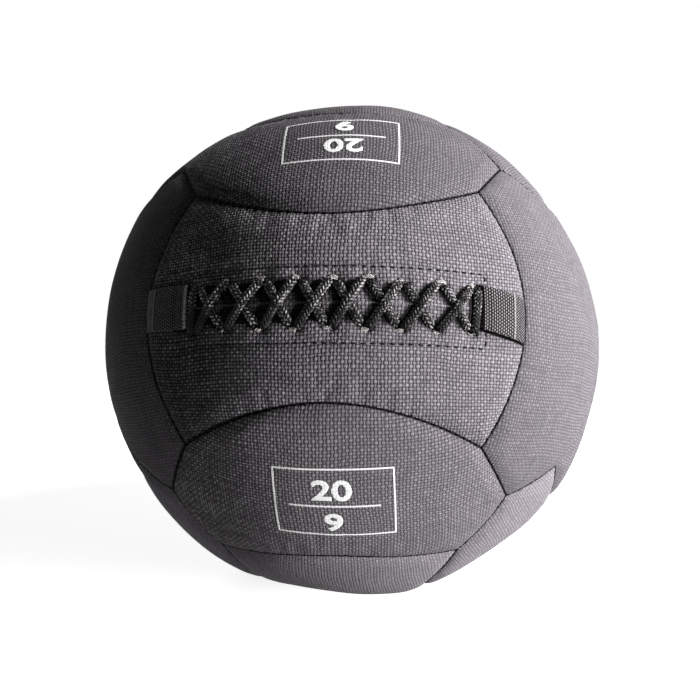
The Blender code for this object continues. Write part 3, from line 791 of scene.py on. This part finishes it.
def panelShape(strip, name, field, inner=()):
    # what all panels of one cut share: directions, seam distances and cloth places
    length, width, cell = panelGrid[name]
    across, up = shareSteps(length, cell), shareSteps(width, cell, inner)
    flat = blendPatch(strip, across, up).reshape(-1, 3)
    reach, place = seamReach(flat, strip)
    border = np.ones((len(up), len(across)), bool)
    border[1:-1, 1:-1] = False
    border = border.reshape(-1)
    lean = panelCentre(strip) - flat
    lean = lean / np.maximum(np.linalg.norm(lean, axis=1, keepdims=True), 1e-9)
    inset = np.where(border, seams["gap"] / 2 / radius, 0)[:, None]
    return {
        "size": (len(across), len(up)), "ways": unit(flat + lean * inset), "reach": reach, "place": place,
        "border": border, "map": flatPlace(flat, strip), "swell": spreadField(field - field.mean(), across, up),
    }


def buildPanel(node, shape, turn, seed, look):
    panel = newGrid(*shape["size"])
    panel.name = panel.data.name = node + "_cloth"
    reach, place = shape["reach"], shape["place"]
    local = shape["ways"] @ turn.T
    pucker = waves(place, seed, seams["puckerLengths"]) * np.exp(-reach / seams["puckerReach"])
    pucker = pucker * seams["puckerHeight"] * np.clip(reach / seams["puckerFrom"], 0, 1)
    pull = np.abs(np.cos(math.pi * place / seams["stitchPitch"])) ** seams["pullSharp"]
    pull = pull * bell(reach, seams["pullReach"])
    press = shape["swell"] if seed % 2 else shape["swell"][:, ::-1]
    height = radius - edgeFall(reach) + pucker - pull * seams["stitchPull"] + softLumps(local @ ballTurn().T)
    height += press.reshape(-1)
    if node == "cover_front_middle":
        x = radius * np.arctan2(shape["ways"][:, 0], shape["ways"][:, 2])
        y = radius * np.arcsin(shape["ways"][:, 1])
        height += closureRelief(x, y)
    height -= shape["border"] * seams["edgeDrop"]
    points = toRow(local * height[:, None])
    points[:, 2] = np.maximum(points[:, 2], 0.0)
    panel.data.vertices.foreach_set("co", points.reshape(-1))
    setMap(panel, "panelMap", shape["map"])
    setValue(panel, "reach", reach)
    if node == "cover_front_middle":
        # the lace strands' painted shadow, kept as a value on the front panel
        setValue(panel, "paintedShade", shadowBeside(x, y))
        openClosure(panel, shape["map"])
    panel.data.update()
    dress(panel, look)
    thicken(panel, ball["coverThickness"])
    applyModifiers(panel)
    finishPiece(panel, (node,), ball["padFill"])
    return panel


def openClosure(panel, mapped):
    # cuts the slit and the lace holes out of the grid
    shape = bmesh.new()
    shape.from_mesh(panel.data)
    shape.verts.ensure_lookup_table()
    holes = np.array(holePlaces())
    doomed = []
    for face in shape.faces:
        x, y = np.mean([mapped[corner.index] for corner in face.verts], 0)
        if abs(y) < lacing["slitOpen"] and abs(x) < lacing["slitHalf"]:
            doomed.append(face)
        elif np.min(np.hypot(holes[:, 0] - x, holes[:, 1] - y)) < lacing["holeReach"]:
            doomed.append(face)
    bmesh.ops.delete(shape, geom=doomed, context="FACES")
    shape.to_mesh(panel.data)
    shape.free()


panelGrid = {
    # how long and wide the flat cloth is, and its mesh's cell
    "middle": (212.0, 128.0, 2.6), "outer": (180.0, 112.0, 2.6), "front": (234.0, 104.0, 1.1),
    "slitRows": (0.1, 0.4, 0.8, 1.4, 2.2, 3.0),      # rows of the front's mesh, from its slit
}
coverCuts = {
    "front_upper": "coverUpper", "front_lower": "coverLower",
    "bottom": "coverUnder", "bottom_left": "coverUnder", "bottom_right": "coverUnder",
    "left": "coverLeft", "left_fore": "coverLeft", "left_rear": "coverLeft", "front": "coverFront",
}


def buildCover():
    middleField, outerField = swellCloth(middleStrip), swellCloth(outerStrip)
    middleShape = panelShape(middleStrip, "middle", middleField)
    outerShape = panelShape(outerStrip, "outer", outerField)
    frontShape = panelShape(middleStrip, "front", middleField, panelGrid["slitRows"])
    made = {}
    for names, suffix, plain in ((middlePanels, "_middle", middleShape), (outerPanels, "", outerShape)):
        for name, face, flip in names:
            shape = frontShape if name == "front" else plain
            look = looks[coverCuts.get(name, "cover")]
            node = f"cover_{name}{suffix}"
            made[node] = buildPanel(node, shape, np.diag(flip) @ turnForward[face], len(made) + 1, look)
    return made


panels = buildCover()
print("cover panels made:", len(panels))


def surfaceOf(piece):
    shape = bmesh.new()
    shape.from_mesh(piece.data)
    tree = BVHTree.FromBMesh(shape)
    shape.free()
    return tree


surfaces = {
    node: surfaceOf(panels[node]) for node in ("cover_front_middle", "cover_front_upper", "cover_front_lower")
}


def coverSpot(way, node="cover_front_middle"):
    # the panel's outer point in a direction given on the ball's own axes, and its normal there
    rowWay = Vector(ballTurn() @ np.array(way))
    start = middlePoint + rowWay * (radius + ball["rayFrom"]) * mm
    spot, normal, _, _ = surfaces[node].ray_cast(start, -rowWay)
    if spot:
        return spot, normal
    return middlePoint + rowWay * (radius - ball["holeFloor"]) * mm, rowWay


lace = {
    "halfWidth": 1.85, "halfHeight": 1.1, "strandThick": 0.58, "strandPairs": 6, "strandSides": 5, "bulge": 0.16,
    "turnLength": 12.6, "step": 0.6, "splineSteps": 14,
    # heights over the ball: at its holes, just out of them and behind the cover
    "holeHeight": -1.2, "shoulder": 0.4, "bend": 2.1, "biteHeight": -9.7, "biteRise": 1.5, "biteRun": 1.3,
    # and at these shares of a strand's length
    "upright": ((0.3, 0.8), (0.7, 0.8)),
    "over": ((0.25, 1.2), (0.38, 1.7), (0.5, 2.6), (0.62, 1.7), (0.75, 1.2)),
    "under": ((0.3, 0.6), (0.5, -0.3), (0.7, 0.6)),
    "lean": 0.6,      # the upper ends of the crosses stand a little prouder than the lower ones
    "glintShare": ((-13.0, 0.72), (-5.0, 0.8), (3.0, 1.0)),      # how much painted glint the upper strands carry, at this y, less towards their lower ends
}


def laceRoute():
    last = lacing["columns"] - 1
    leftward = [(c, 1 if c % 2 == last % 2 else -1) for c in range(last, -1, -1)]
    rightward = [(c, -1 if c % 2 == last % 2 else 1) for c in range(last + 1)]
    holes = [laceHole(last, -1, 1)]
    holes += [laceHole(c, row, hand) for c, row in leftward for hand in (1, -1)]
    holes += [laceHole(c, row, hand) for c, row in rightward for hand in (-1, 1)][:-1]
    level = radius + lace["biteHeight"]
    points = [frontWay(*holes[0]) * (level + lace["biteRise"])]
    for i in range(0, len(holes) - 1, 2):
        points += laceStrand(holes[i], holes[i + 1])
        if i + 2 < len(holes):
            points += laceBite(holes[i + 1], holes[i + 2], level)
    points.append(frontWay(*holes[-1]) * (level + lace["biteRise"]))
    return np.array(points)


def laceStrand(start, end):
    run = np.array((end[0] - start[0], end[1] - start[1]))
    turn = run / np.linalg.norm(run) * lace["bend"]
    over = run[0] * run[1] > 0
    upright = abs(run[0]) < lacing["pitch"] / 2
    stages = lace["upright" if upright else "over" if over else "under"]
    points = [
        frontWay(*start) * (radius + lace["holeHeight"]),
        frontWay(start[0] + turn[0], start[1] + turn[1]) * (radius + lace["shoulder"]),
    ]
    for share, height in stages:
        y = start[1] + run[1] * share
        lean = lace["lean"] * y / lacing["rowOffset"] if over else 0
        points.append(frontWay(start[0] + run[0] * share, y) * (radius + height + lean))
    points.append(frontWay(end[0] - turn[0], end[1] - turn[1]) * (radius + lace["shoulder"]))
    points.append(frontWay(*end) * (radius + lace["holeHeight"]))
    return points


def laceBite(start, end, level):
    # the short run behind the cover, from one hole to the next
    run = lace["biteRun"] if end[0] > start[0] else -lace["biteRun"]
    return [
        frontWay(*start) * (level + lace["biteRise"]), frontWay(start[0] + run, start[1]) * level,
        frontWay(end[0] - run, end[1]) * level, frontWay(*end) * (level + lace["biteRise"]),
    ]


def smoothPath(points, step):
    # a centripetal spline through the points, resampled at even steps
    fine = []
    count = len(points)
    for i in range(count - 1):
        a, b, c, d = (points[min(max(i + k, 0), count - 1)] for k in (-1, 0, 1, 2))
        for t in np.linspace(0, 1, lace["splineSteps"], endpoint=False):
            square, cube = (2 * a - 5 * b + 4 * c - d) * t ** 2, (3 * b - a - 3 * c + d) * t ** 3
            fine.append(0.5 * (2 * b + (c - a) * t + square + cube))
    fine = np.array([*fine, points[-1]])
    lengths = runLengths(fine)
    even = np.linspace(0, lengths[-1], int(lengths[-1] / step) + 1)
    return readAlong(even, lengths, fine), even


def cordFrame(path):
    # across the cord and along the cover, and up; where it dives through a hole the way is carried over
    ahead, out = unit(np.gradient(path, axis=0)), unit(path)
    heading = ahead - out * np.sum(ahead * out, 1, keepdims=True)
    size = np.linalg.norm(heading, axis=1)
    good = size > 0.4
    index = np.arange(len(path))
    side = readAlong(index, index[good], np.cross(out, heading)[good] / size[good, None])
    side = unit(side - ahead * np.sum(side * ahead, 1, keepdims=True))
    return side, np.cross(ahead, side)


def ropeMesh(name, lines, sides, thickness, values):
    # round strands along these lines, all in one mesh, with a value for each of their points
    corners, faces, marks = [], [], []
    for line, value in zip(lines, values):
        side, up = cordFrame(line)
        base = sum(len(ring) for ring in corners)
        rings = []
        for step in range(sides):
            angle = 2 * math.pi * (step + 0.5) / sides
            rings.append(line + (side * math.cos(angle) + up * math.sin(angle)) * thickness)
        corners.append(np.stack(rings, 1).reshape(-1, 3))
        marks.append(np.repeat(value, sides))
        ring = base + np.arange(len(line) - 1)[:, None] * sides
        a, b = ring + np.arange(sides)[None], ring + (np.arange(sides)[None] + 1) % sides
        faces += np.stack((a, b, b + sides, a + sides), -1).reshape(-1, 4).tolist()
        faces.append([base + step for step in reversed(range(sides))])
        faces.append([base + (len(line) - 1) * sides + step for step in range(sides)])
    mesh = bpy.data.meshes.new(name)
    mesh.from_pydata(toRow(np.concatenate(corners)).tolist(), [], faces)
    mesh.update()
    piece = linked(name, mesh)
    setValue(piece, "crest", np.concatenate(marks))
    return piece


def buildLace():
    path, along = smoothPath(laceRoute(), lace["step"])
    print("lace laid:", round(along[-1]), "mm")
    side, up = cordFrame(path)
    pairs = lace["strandPairs"]
    turn = along / lace["turnLength"] * 2 * math.pi
    x = radius * np.arctan2(path[:, 0], path[:, 2])
    y = radius * np.arcsin(unit(path)[:, 1])
    upward = np.gradient(x) * np.gradient(y) > 0
    # painted highlight on the upper parts of the crossing strands, painted darker towards their lower ends
    glintShare = np.where(upward, np.interp(y, *zip(*lace["glintShare"])), 1.0)
    lines, crests = [], []
    for hand in (1, -1):
        for strand in range(pairs):
            angle = 2 * math.pi * strand / pairs + hand * turn
            # over two, under two: the crossings make the herringbone
            lift = hand * np.cos(hand * pairs * turn / 2 - math.pi / 4 + math.pi * strand)
            bulge = 1 + lace["bulge"] * lift
            line = path + side * (lace["halfWidth"] * bulge * np.cos(angle))[:, None]
            lines.append(line + up * (lace["halfHeight"] * bulge * np.sin(angle))[:, None])
            crests.append((lift * 0.5 + 0.5) * glintShare)
    cord = ropeMesh("lace_braid", lines, lace["strandSides"], lace["strandThick"], crests)
    dress(cord, looks["lace"])
    finishPiece(cord, ("lace",))
    return cord


laceCord = buildLace()
print("lace braided:", len(laceCord.data.polygons), "faces")


tabs = {
    "inner": {"left": 78.6, "right": 83.8}, "outer": 115.5, "thick": 2.2, "columns": 33, "rows": 25,
    "foldStep": 0.55, "foldSoft": 0.5, "ridge": 0.5, "ridgeWidth": 0.8, "rounding": 0.4, "deepest": 3.4,
    "crown": 0.35, "crownReach": 1.5, "arch": 0.25,      # how it rises from its side edges, and along its middle
    "outerDip": 2.0, "outerFrom": 0.93, "innerDip": 0.5, "innerShare": 0.025,
    "left": ((13.6, 13.9), (-11.2, -10.2)),      # top and bottom edges, at the inner and outer ends
    "right": ((12.9, 8.2), (-10.6, -16.2)),
}


def buildTab(name, hand):
    (topIn, topOut), (bottomIn, bottomOut) = tabs[name]
    inner = tabs["inner"][name]
    tab = newGrid(tabs["columns"], tabs["rows"])
    tab.name = tab.data.name = f"webbing_tab_{name}_strap"
    mapped = []
    for corner in tab.data.vertices:
        u, v = corner.co.x + 0.5, corner.co.y + 0.5
        x = inner + (tabs["outer"] - inner) * u
        top = topIn + (topOut - topIn) * u
        bottom = bottomIn + (bottomOut - bottomIn) * u
        y = bottom + (top - bottom) * v
        way = frontWay(hand * x, y)
        base = (coverSpot(way)[0] - middlePoint).length / mm
        past = x - webbingLook["foldAt"]
        fold = tabs["foldStep"] / (1 + math.exp(-past / tabs["foldSoft"]))
        ridge = tabs["ridge"] * bell(past, tabs["ridgeWidth"])
        edge = min(v, 1 - v) * (top - bottom)
        crown = tabs["crown"] * (1 - math.exp(-edge / tabs["crownReach"])) + tabs["arch"] * math.sin(math.pi * u)
        height = max(base, radius - tabs["deepest"]) + tabs["thick"] + crown + ridge - fold
        # both ends dip: the outer one into its seam, the inner one onto the cover
        height -= tabs["outerDip"] * max(0, u - tabs["outerFrom"]) / (1 - tabs["outerFrom"])
        height -= tabs["innerDip"] * math.exp(-u / tabs["innerShare"])
        corner.co = Vector(toRow(way * height))
        mapped.append((hand * x, y))
    setMap(tab, "tabMap", mapped)
    if hand < 0:
        tab.data.flip_normals()
    dress(tab, looks["webbing"])
    thicken(tab, tabs["thick"])
    rounding = tab.modifiers.new("rounding", "BEVEL")
    rounding.width = tabs["rounding"] * mm
    rounding.segments = 2
    rounding.limit_method = "ANGLE"
    rounding.angle_limit = math.radians(50)
    applyModifiers(tab)
    tab.data.shade_smooth()
    finishPiece(tab, (f"webbing_tab_{name}",))
    return tab


tabPieces = [buildTab("left", -1), buildTab("right", 1)]
print("webbing tabs made")


stitching = {
    "length": 2.8, "thick": 0.6, "pitch": 5.0, "lift": 0.1, "seamLength": 3.2, "seamThick": 0.34, "seamDepth": 2.2,
    "whips": 24, "whipStart": -10.4, "whipPitch": 0.98, "whipLength": 2.8, "whipThick": 0.33,
    "whipFrom": 25.0, "whipInset": 1.3, "whipRun": 1.2, "whipSlant": 1.1, "whipLift": 0.35,
}


def stitchShape(length, thick):
    # one lock stitch: a slim grain that dips into the cloth at both ends
    deselectAll()
    bpy.ops.mesh.primitive_uv_sphere_add(segments=6, ring_count=5, radius=1)
    grain = bpy.context.object
    bpy.ops.object.mode_set(mode="EDIT")
    bpy.ops.mesh.select_all(action="SELECT")
    bpy.ops.transform.rotate(value=math.pi / 2, orient_axis="Y", center_override=(0, 0, 0))
    bpy.ops.transform.resize(value=(length / 2 * mm, thick * mm, thick * mm), center_override=(0, 0, 0))
    bpy.ops.object.mode_set(mode="OBJECT")
    grain.data.shade_smooth()
    return grain


def sewRow(name, length, thick, places, look):
    # copies one stitch to every (spot, way along, way out) and joins the copies
    grain = stitchShape(length, thick)
    shape = bmesh.new()
    for spot, along, out in places:
        along = (along - out * along.dot(out)).normalized()
        turn = Matrix((along, out.cross(along), out)).transposed().to_4x4()
        before = len(shape.verts)
        shape.from_mesh(grain.data)
        shape.verts.ensure_lookup_table()
        bmesh.ops.transform(shape, matrix=Matrix.Translation(spot) @ turn, verts=shape.verts[before:])
    bpy.data.objects.remove(grain)
    piece = fromShape(name, shape)
    dress(piece, looks[look])
    finishPiece(piece)


def boxStitches():
    # the stitch rectangle round the lacing, corner to corner
    half, top, bottom = lacing["boxHalf"], lacing["boxTop"], lacing["boxBottom"]
    corners = ((-half, top), (half, top), (half, bottom), (-half, bottom), (-half, top))
    for (x0, y0), (x1, y1) in zip(corners, corners[1:]):
        runX, runY = x1 - x0, y1 - y0
        size = math.hypot(runX, runY)
        count = round(size / stitching["pitch"])
        for step in range(count):
            share = (step + 0.5) / count
            x, y = x0 + runX * share, y0 + runY * share
            here, out = coverSpot(frontWay(x, y))
            there, _ = coverSpot(frontWay(x + runX / size, y + runY / size))
            yield here + out * stitching["lift"] * mm, there - here, out


def seamStitches():
    # along every seam; the outer strips' sides share their halves, so those stitches are laid twice in one place
    share = np.linspace(0, 1, 400)
    done = set()
    for names, strip in ((middlePanels, middleStrip), (outerPanels, outerStrip)):
        for name, face, flip in names:
            turn = np.diag(flip) @ turnForward[face]
            for line in strip(share, share):
                points = line @ turn.T * (radius - stitching["seamDepth"])
                lengths = runLengths(points)
                key = tuple(np.round(points[[0, -1]].sum(0) + points[len(points) // 2], 0))
                if key in done:
                    continue
                done.add(key)
                count = int(lengths[-1] / seams["stitchPitch"])
                for step in range(count):
                    at = lengths[-1] * (step + 0.5) / count
                    spot, ahead = (Vector(toRow(readAlong(at + far, lengths, points))) for far in (0.0, 0.8))
                    if spot.z >= 0.5 * mm:
                        yield spot, ahead - spot, (spot - middlePoint).normalized()


def whipStitches():
    # slanting stitches over the left tab's inner edge
    tree = surfaceOf(tabPieces[0])
    inner, run = tabs["inner"]["left"] + stitching["whipInset"], stitching["whipRun"]
    for step in range(stitching["whips"]):
        y = stitching["whipStart"] + step * stitching["whipPitch"]
        way = Vector(ballTurn() @ frontWay(-inner, y))
        side = Vector(ballTurn() @ (frontWay(run - inner, y + stitching["whipSlant"]) - frontWay(-run - inner, y)))
        hit = tree.ray_cast(middlePoint + way * ((radius + stitching["whipFrom"]) * mm), -way)[0]
        if hit:
            yield hit + way * stitching["whipLift"] * mm, side, way


sewRow("closure_stitching", stitching["length"], stitching["thick"], boxStitches(), "thread")
sewRow("seam_stitching", stitching["seamLength"], stitching["seamThick"], seamStitches(), "thread")
sewRow("selvage_stitching", stitching["whipLength"], stitching["whipThick"], whipStitches(), "whip")
print("stitching sewn")


frays = {
    "perAnchor": 5, "length": (1.2, 3.2), "thick": 0.13, "taper": (1.0, 1.0, 0.9, 0.7, 0.3), "seed": 11,
    "out": (0.4, 1.4), "fan": 1.3, "bend": 0.6, "base": 0.15, "rise": 1.0,
    "rimFibres": 9, "rimThick": 0.19, "rimTaper": (0.3, 0.8, 1.0, 1.0, 1.0, 0.8, 0.3), "rimRise": 1.5,
    "rimOut": (-0.4, 0.6), "rimArc": (0.9, 1.5), "rimWide": (0.5, 1.0), "rimTall": (0.5, 1.3), "rimLift": (0.2, 0.9),
    # where each hole's pale torn rim sits, its half width and how much of it shows, top row then bottom row
    "topRim": (
        (0.0, 1.8, 0.3), (-1.9, 1.7, 1.0), (-1.6, 2.0, 1.0), (-1.4, 1.9, 1.1), (-0.6, 2.8, 1.2),
        (0.7, 3.6, 1.3), (-1.0, 1.7, 0.5), (0.8, 3.1, 1.1), (-1.6, 1.8, 1.0),
    ),
    "bottomRim": (
        (0.0, 1.6, 0.0), (-0.8, 1.2, 0.3), (-0.4, 2.2, 0.8), (0.0, 2.6, 1.1), (-1.0, 2.3, 1.0),
        (0.5, 2.6, 0.5), (0.6, 2.2, 0.6), (0.7, 2.4, 0.7), (0.0, 1.8, 0.3),
    ),
}


def frayPoint(x, y, height):
    offset = coverSpot(frontWay(x, y))[0] - middlePoint
    base = max(offset.length, (radius - 0.4) * mm)
    return middlePoint + offset.normalized() * (base + height * mm)


def flyaway(x, y, heading, length, dice):
    # one thin fibre that stands out of a hole
    bend = dice.uniform(-frays["bend"], frays["bend"])
    line = []
    for share in (0, 0.25, 0.5, 0.75, 1):
        far = length * share
        angle = heading + bend * share
        height = frays["base"] + frays["rise"] * math.sin(math.pi * share * 0.8)
        line.append(frayPoint(x + math.cos(angle) * far, y + math.sin(angle) * far * 0.8, height))
    return np.array(line)


def rimFibre(x, y, half, row, dice):
    # one fibre of the crescent at a hole's outer side
    least, most = frays["rimArc"]
    start, end = dice.uniform(-most, -least), dice.uniform(least, most)
    wide, rise = half * dice.uniform(*frays["rimWide"]), frays["rimRise"] * dice.uniform(*frays["rimTall"])
    lift = dice.uniform(*frays["rimLift"])
    line = []
    for step in range(7):
        angle = start + (end - start) * step / 6
        height = lift * (0.4 + 0.6 * math.cos(angle))
        line.append(frayPoint(x + wide * math.sin(angle), y + row * rise * math.cos(angle), height))
    return np.array(line)


def fibreBundle(name, lines, thickness, taper):
    # fine tubes along these lines, made a mesh
    curve = bpy.data.curves.new(name, "CURVE")
    curve.dimensions = "3D"
    curve.bevel_depth = thickness * mm
    curve.bevel_resolution = 0
    curve.use_fill_caps = True
    for line in lines:
        spline = curve.splines.new("POLY")
        spline.points.add(len(line) - 1)
        spline.points.foreach_set("co", np.insert(line, 3, 1, axis=1).reshape(-1))
        spline.points.foreach_set("radius", taper)
    piece = linked(name, curve)
    deselectAll()
    piece.select_set(True)
    bpy.context.view_layer.objects.active = piece
    bpy.ops.object.convert(target="MESH")
    piece = bpy.context.object
    piece.data.materials.clear()
    dress(piece, looks["fray"])
    finishPiece(piece)


def buildFrays():
    dice = random.Random(frays["seed"])
    loose, rims = [], []
    for column in range(lacing["columns"]):
        for row in (-1, 1):
            ax, ay = laceAnchor(column, row)
            shift, half, show = frays["topRim" if row > 0 else "bottomRim"][column]
            for _ in range(round(frays["perAnchor"] * show)):
                x, y = ax + shift + dice.uniform(-1, 1) * half, ay + row * dice.uniform(*frays["out"])
                heading = row * math.pi / 2 + dice.uniform(-frays["fan"], frays["fan"])
                loose.append(flyaway(x, y, heading, dice.uniform(*frays["length"]), dice))
            for _ in range(round(frays["rimFibres"] * show)):
                rims.append(rimFibre(ax + shift, ay + row * dice.uniform(*frays["rimOut"]), half, row, dice))
    fibreBundle("backing_frays", loose, frays["thick"], frays["taper"])
    fibreBundle("backing_rims", rims, frays["rimThick"], frays["rimTaper"])


buildFrays()
print("frays made")


printed = {
    "width": 67.0, "height": 43.0, "lineWidth": 0.95, "lift": 0.14, "thick": 0.3, "cuts": (60, 40),
    # the box's corners as directions on the ball's own axes: as the print is read, from its top left, clockwise
    "lower": (
        (-0.1716, -0.4758, 0.8627), (0.2016, -0.4724, 0.8580), (0.2074, -0.6824, 0.7009), (-0.1686, -0.6808, 0.7128),
    ),
    "upper": (
        (0.2140, 0.4761, 0.8530), (-0.1659, 0.4808, 0.8610), (-0.1777, 0.6785, 0.7128), (0.2096, 0.6885, 0.6943),
    ),
    "divider": (0.125, 0.875, 0.475),      # from, to, and how far up the box
    "digits": (("20", 0.48, 0.7, 0.29), ("9", 0.48, 0.22, 0.29)),      # text, middle across and up, height share
    "digitWide": 1.35, "digitBold": 0.03,
}


def printWay(corners, u, v):
    # a direction inside the print's box, from its corners
    topLeft, topRight, lowRight, lowLeft = [unit(np.array(corner)) for corner in corners]
    top = topLeft * (1 - u) + topRight * u
    low = lowLeft * (1 - u) + lowRight * u
    return unit(low * (1 - v) + top * v)


def printBars():
    # frame and divider as strips of (u, v) corners
    du = printed["lineWidth"] / printed["width"]
    dv = printed["lineWidth"] / printed["height"]
    left, right, level = printed["divider"]
    return (
        (0, 1 - dv, 1, 1), (0, 0, 1, dv), (0, dv, du, 1 - dv), (1 - du, dv, 1, 1 - dv),
        (left, level - dv / 2, right, level + dv / 2),
    )


def addDigits(shape, text, across, up, tall):
    deselectAll()
    bpy.ops.object.text_add()
    words = bpy.context.object
    words.data.body = text
    words.data.align_x = "CENTER"
    words.data.align_y = "CENTER"
    words.data.offset = printed["digitBold"]
    words.data.resolution_u = 8
    bpy.ops.object.convert(target="MESH")
    words = bpy.context.object
    box = np.array([tuple(v.co) for v in words.data.vertices])
    low, high = box.min(0), box.max(0)
    scale = tall / (high[1] - low[1])
    wide = scale * printed["height"] / printed["width"] * printed["digitWide"]
    before = len(shape.verts)
    shape.from_mesh(words.data)
    shape.verts.ensure_lookup_table()
    for corner in shape.verts[before:]:
        corner.co.x = (corner.co.x - (low[0] + high[0]) / 2) * wide + across
        corner.co.y = (corner.co.y - (low[1] + high[1]) / 2) * scale + up
        corner.co.z = 0
    bpy.data.objects.remove(words)


def addBar(shape, u0, v0, u1, v1):
    stepsU = max(1, round((u1 - u0) * printed["width"]))
    stepsV = max(1, round((v1 - v0) * printed["height"]))
    grid = [
        [shape.verts.new((u0 + (u1 - u0) * i / stepsU, v0 + (v1 - v0) * j / stepsV, 0)) for i in range(stepsU + 1)]
        for j in range(stepsV + 1)
    ]
    for low, high in zip(grid, grid[1:]):
        for i in range(stepsU):
            shape.faces.new((low[i], low[i + 1], high[i + 1], high[i]))


def buildPrint(name, node, corners, turned):
    shape = bmesh.new()
    for bar in printBars():
        addBar(shape, *bar)
    for digits in printed["digits"]:
        addDigits(shape, *digits)
    bmesh.ops.remove_doubles(shape, verts=shape.verts, dist=1e-5)
    # fine cuts, so that the ink follows the ball
    for way, cuts in zip(((1, 0, 0), (0, 1, 0)), printed["cuts"]):
        for step in range(1, cuts):
            bmesh.ops.bisect_plane(
                shape, geom=shape.verts[:] + shape.edges[:] + shape.faces[:],
                plane_co=[step / cuts * part for part in way], plane_no=way,
            )
    ways = []
    for corner in shape.verts:
        way = printWay(corners, corner.co.x, corner.co.y)
        ways.append(way * turned)      # on the base strip's own axes, for the weave's map
        spot = coverSpot(way, node)[0]
        corner.co = spot + (spot - middlePoint).normalized() * printed["lift"] * mm
    bmesh.ops.recalc_face_normals(shape, faces=shape.faces)
    piece = fromShape(name, shape)
    setMap(piece, "panelMap", flatPlace(np.array(ways), outerStrip))
    middle = piece.data.polygons[0]
    if middle.normal.dot(middle.center - middlePoint) < 0:
        piece.data.flip_normals()
    piece.data.materials.append(looks["ink"])
    thicken(piece, printed["thick"])
    applyModifiers(piece)
    finishPiece(piece)


buildPrint("print_lower", "cover_front_lower", printed["lower"], np.array((-1, -1, 1)))
buildPrint("print_upper", "cover_front_upper", printed["upper"], np.array((1, 1, 1)))
print("prints made")


inside = {
    # material: its nodes, dark and light tones, fineness
    "closure_facing": (("closure_facing_upper", "closure_facing_lower"), grey(0.05), grey(0.13), 900.0),
    "tongue_cloth": (("tongue_flap",), (0.04, 0.04, 0.042, 1), (0.1, 0.1, 0.105, 1), 700.0),
    "knot_braid": (("lace_knot",), (0.008, 0.008, 0.009, 1), (0.05, 0.05, 0.052, 1), 1200.0),
    "liner_foam": (("foam_liner_front", "foam_liner_back"), (0.42, 0.4, 0.34, 1), (0.56, 0.54, 0.47, 1), 500.0),
    "bag_canvas": (("inner_bag_front", "inner_bag_back"), (0.28, 0.26, 0.21, 1), (0.42, 0.4, 0.34, 1), 800.0),
    "stuffing_fibre": (("stuffing_left", "stuffing_right"), (0.45, 0.43, 0.41, 1), (0.72, 0.7, 0.67, 1), 180.0),
    "sack_canvas": (("core_sack",), (0.28, 0.26, 0.21, 1), (0.42, 0.4, 0.34, 1), 800.0),
    "core_sand_grain": (("core_sand",), (0.34, 0.26, 0.16, 1), (0.58, 0.48, 0.33, 1), 1500.0),
    "tie_twine": (("sack_tie",), (0.12, 0.1, 0.08, 1), (0.3, 0.27, 0.22, 1), 1000.0),
}
for name, (members, dark, light, scale) in inside.items():
    look = buildFibreLook(name, dark, light, scale, 0.85)
    for member in members:
        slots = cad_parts[member].data.materials
        slots.clear()
        slots.append(look)
print("inner nodes finished")


studio = {
    # name, azimuth, elevation, watts
    "lamps": (("keyLamp", 65.0, 2.0, 28.5), ("highLamp", 98.0, 46.0, 23.0), ("backLamp", 182.0, 10.0, 7.0)),
    "lampDistance": 1.25, "lampSize": 0.24, "world": 0.003,
    "floorTone": 0.8, "floorBounce": 0.36, "floorGlow": 0.8, "floorSize": 14.0, "plainFrom": (0.35, 0.9),
}


def areaLamp(name, azimuth, elevation, power):
    data = bpy.data.lights.new(name, "AREA")
    data.shape = "SQUARE"
    data.size = studio["lampSize"]
    data.energy = power
    turn = turnTo(azimuth, elevation)
    back = Matrix.Translation((0, 0, studio["lampDistance"]))
    linked(name, data).matrix_world = Matrix.Translation(middlePoint) @ turn @ back


def seenRays(start):
    # 1 for what the camera sees, also in or through a piece
    path = start.node("ShaderNodeLightPath").socket.node.outputs
    direct, glossy, clear = (Wire(start.tree, path[f"Is {kind} Ray"]) for kind in ("Camera", "Glossy", "Transmission"))
    return (direct + glossy + clear).smallest(1.0)


def buildStudio():
    for lamp in studio["lamps"]:
        areaLamp(*lamp)
    world = bpy.data.worlds.new("studioWorld")
    bpy.context.scene.world = world
    world.use_nodes = True
    sky = seenRays(Wire(world.node_tree)).blend(grey(studio["world"]), grey(1.0))
    join(sky, world.node_tree.nodes["Background"], "Color")
    floor = newGrid(25, 25, studio["floorSize"])
    floor.name = "studio_floor"
    look, start = newLook("studioFloor", 0.9)
    nodes = look.node_tree.nodes
    seen = seenRays(start)
    join(seen.blend(grey(studio["floorBounce"]), grey(studio["floorTone"])), nodes["Principled BSDF"], "Base Color")
    away = start.node("ShaderNodeVectorMath", {"operation": "LENGTH"}, {0: start.objectPlace()}, 1)
    glow, plain = (
        start.node("ShaderNodeEmission", None, {"Color": grey(1.0), "Strength": strength})
        for strength in (studio["floorGlow"], 1.0)
    )
    matte = Wire(start.tree, nodes["Principled BSDF"].outputs[0])
    near = start.node("ShaderNodeAddShader", None, {0: matte, 1: glow})
    shown = start.node("ShaderNodeMixShader", None, {0: away.ease(*studio["plainFrom"]), 1: near, 2: plain})
    join(start.node("ShaderNodeMixShader", None, {0: seen, 1: matte, 2: shown}), nodes["Material Output"], "Surface")
    floor.data.materials.append(look)


buildStudio()
bpy.context.scene.view_settings.view_transform = "Standard"
print("studio lit")
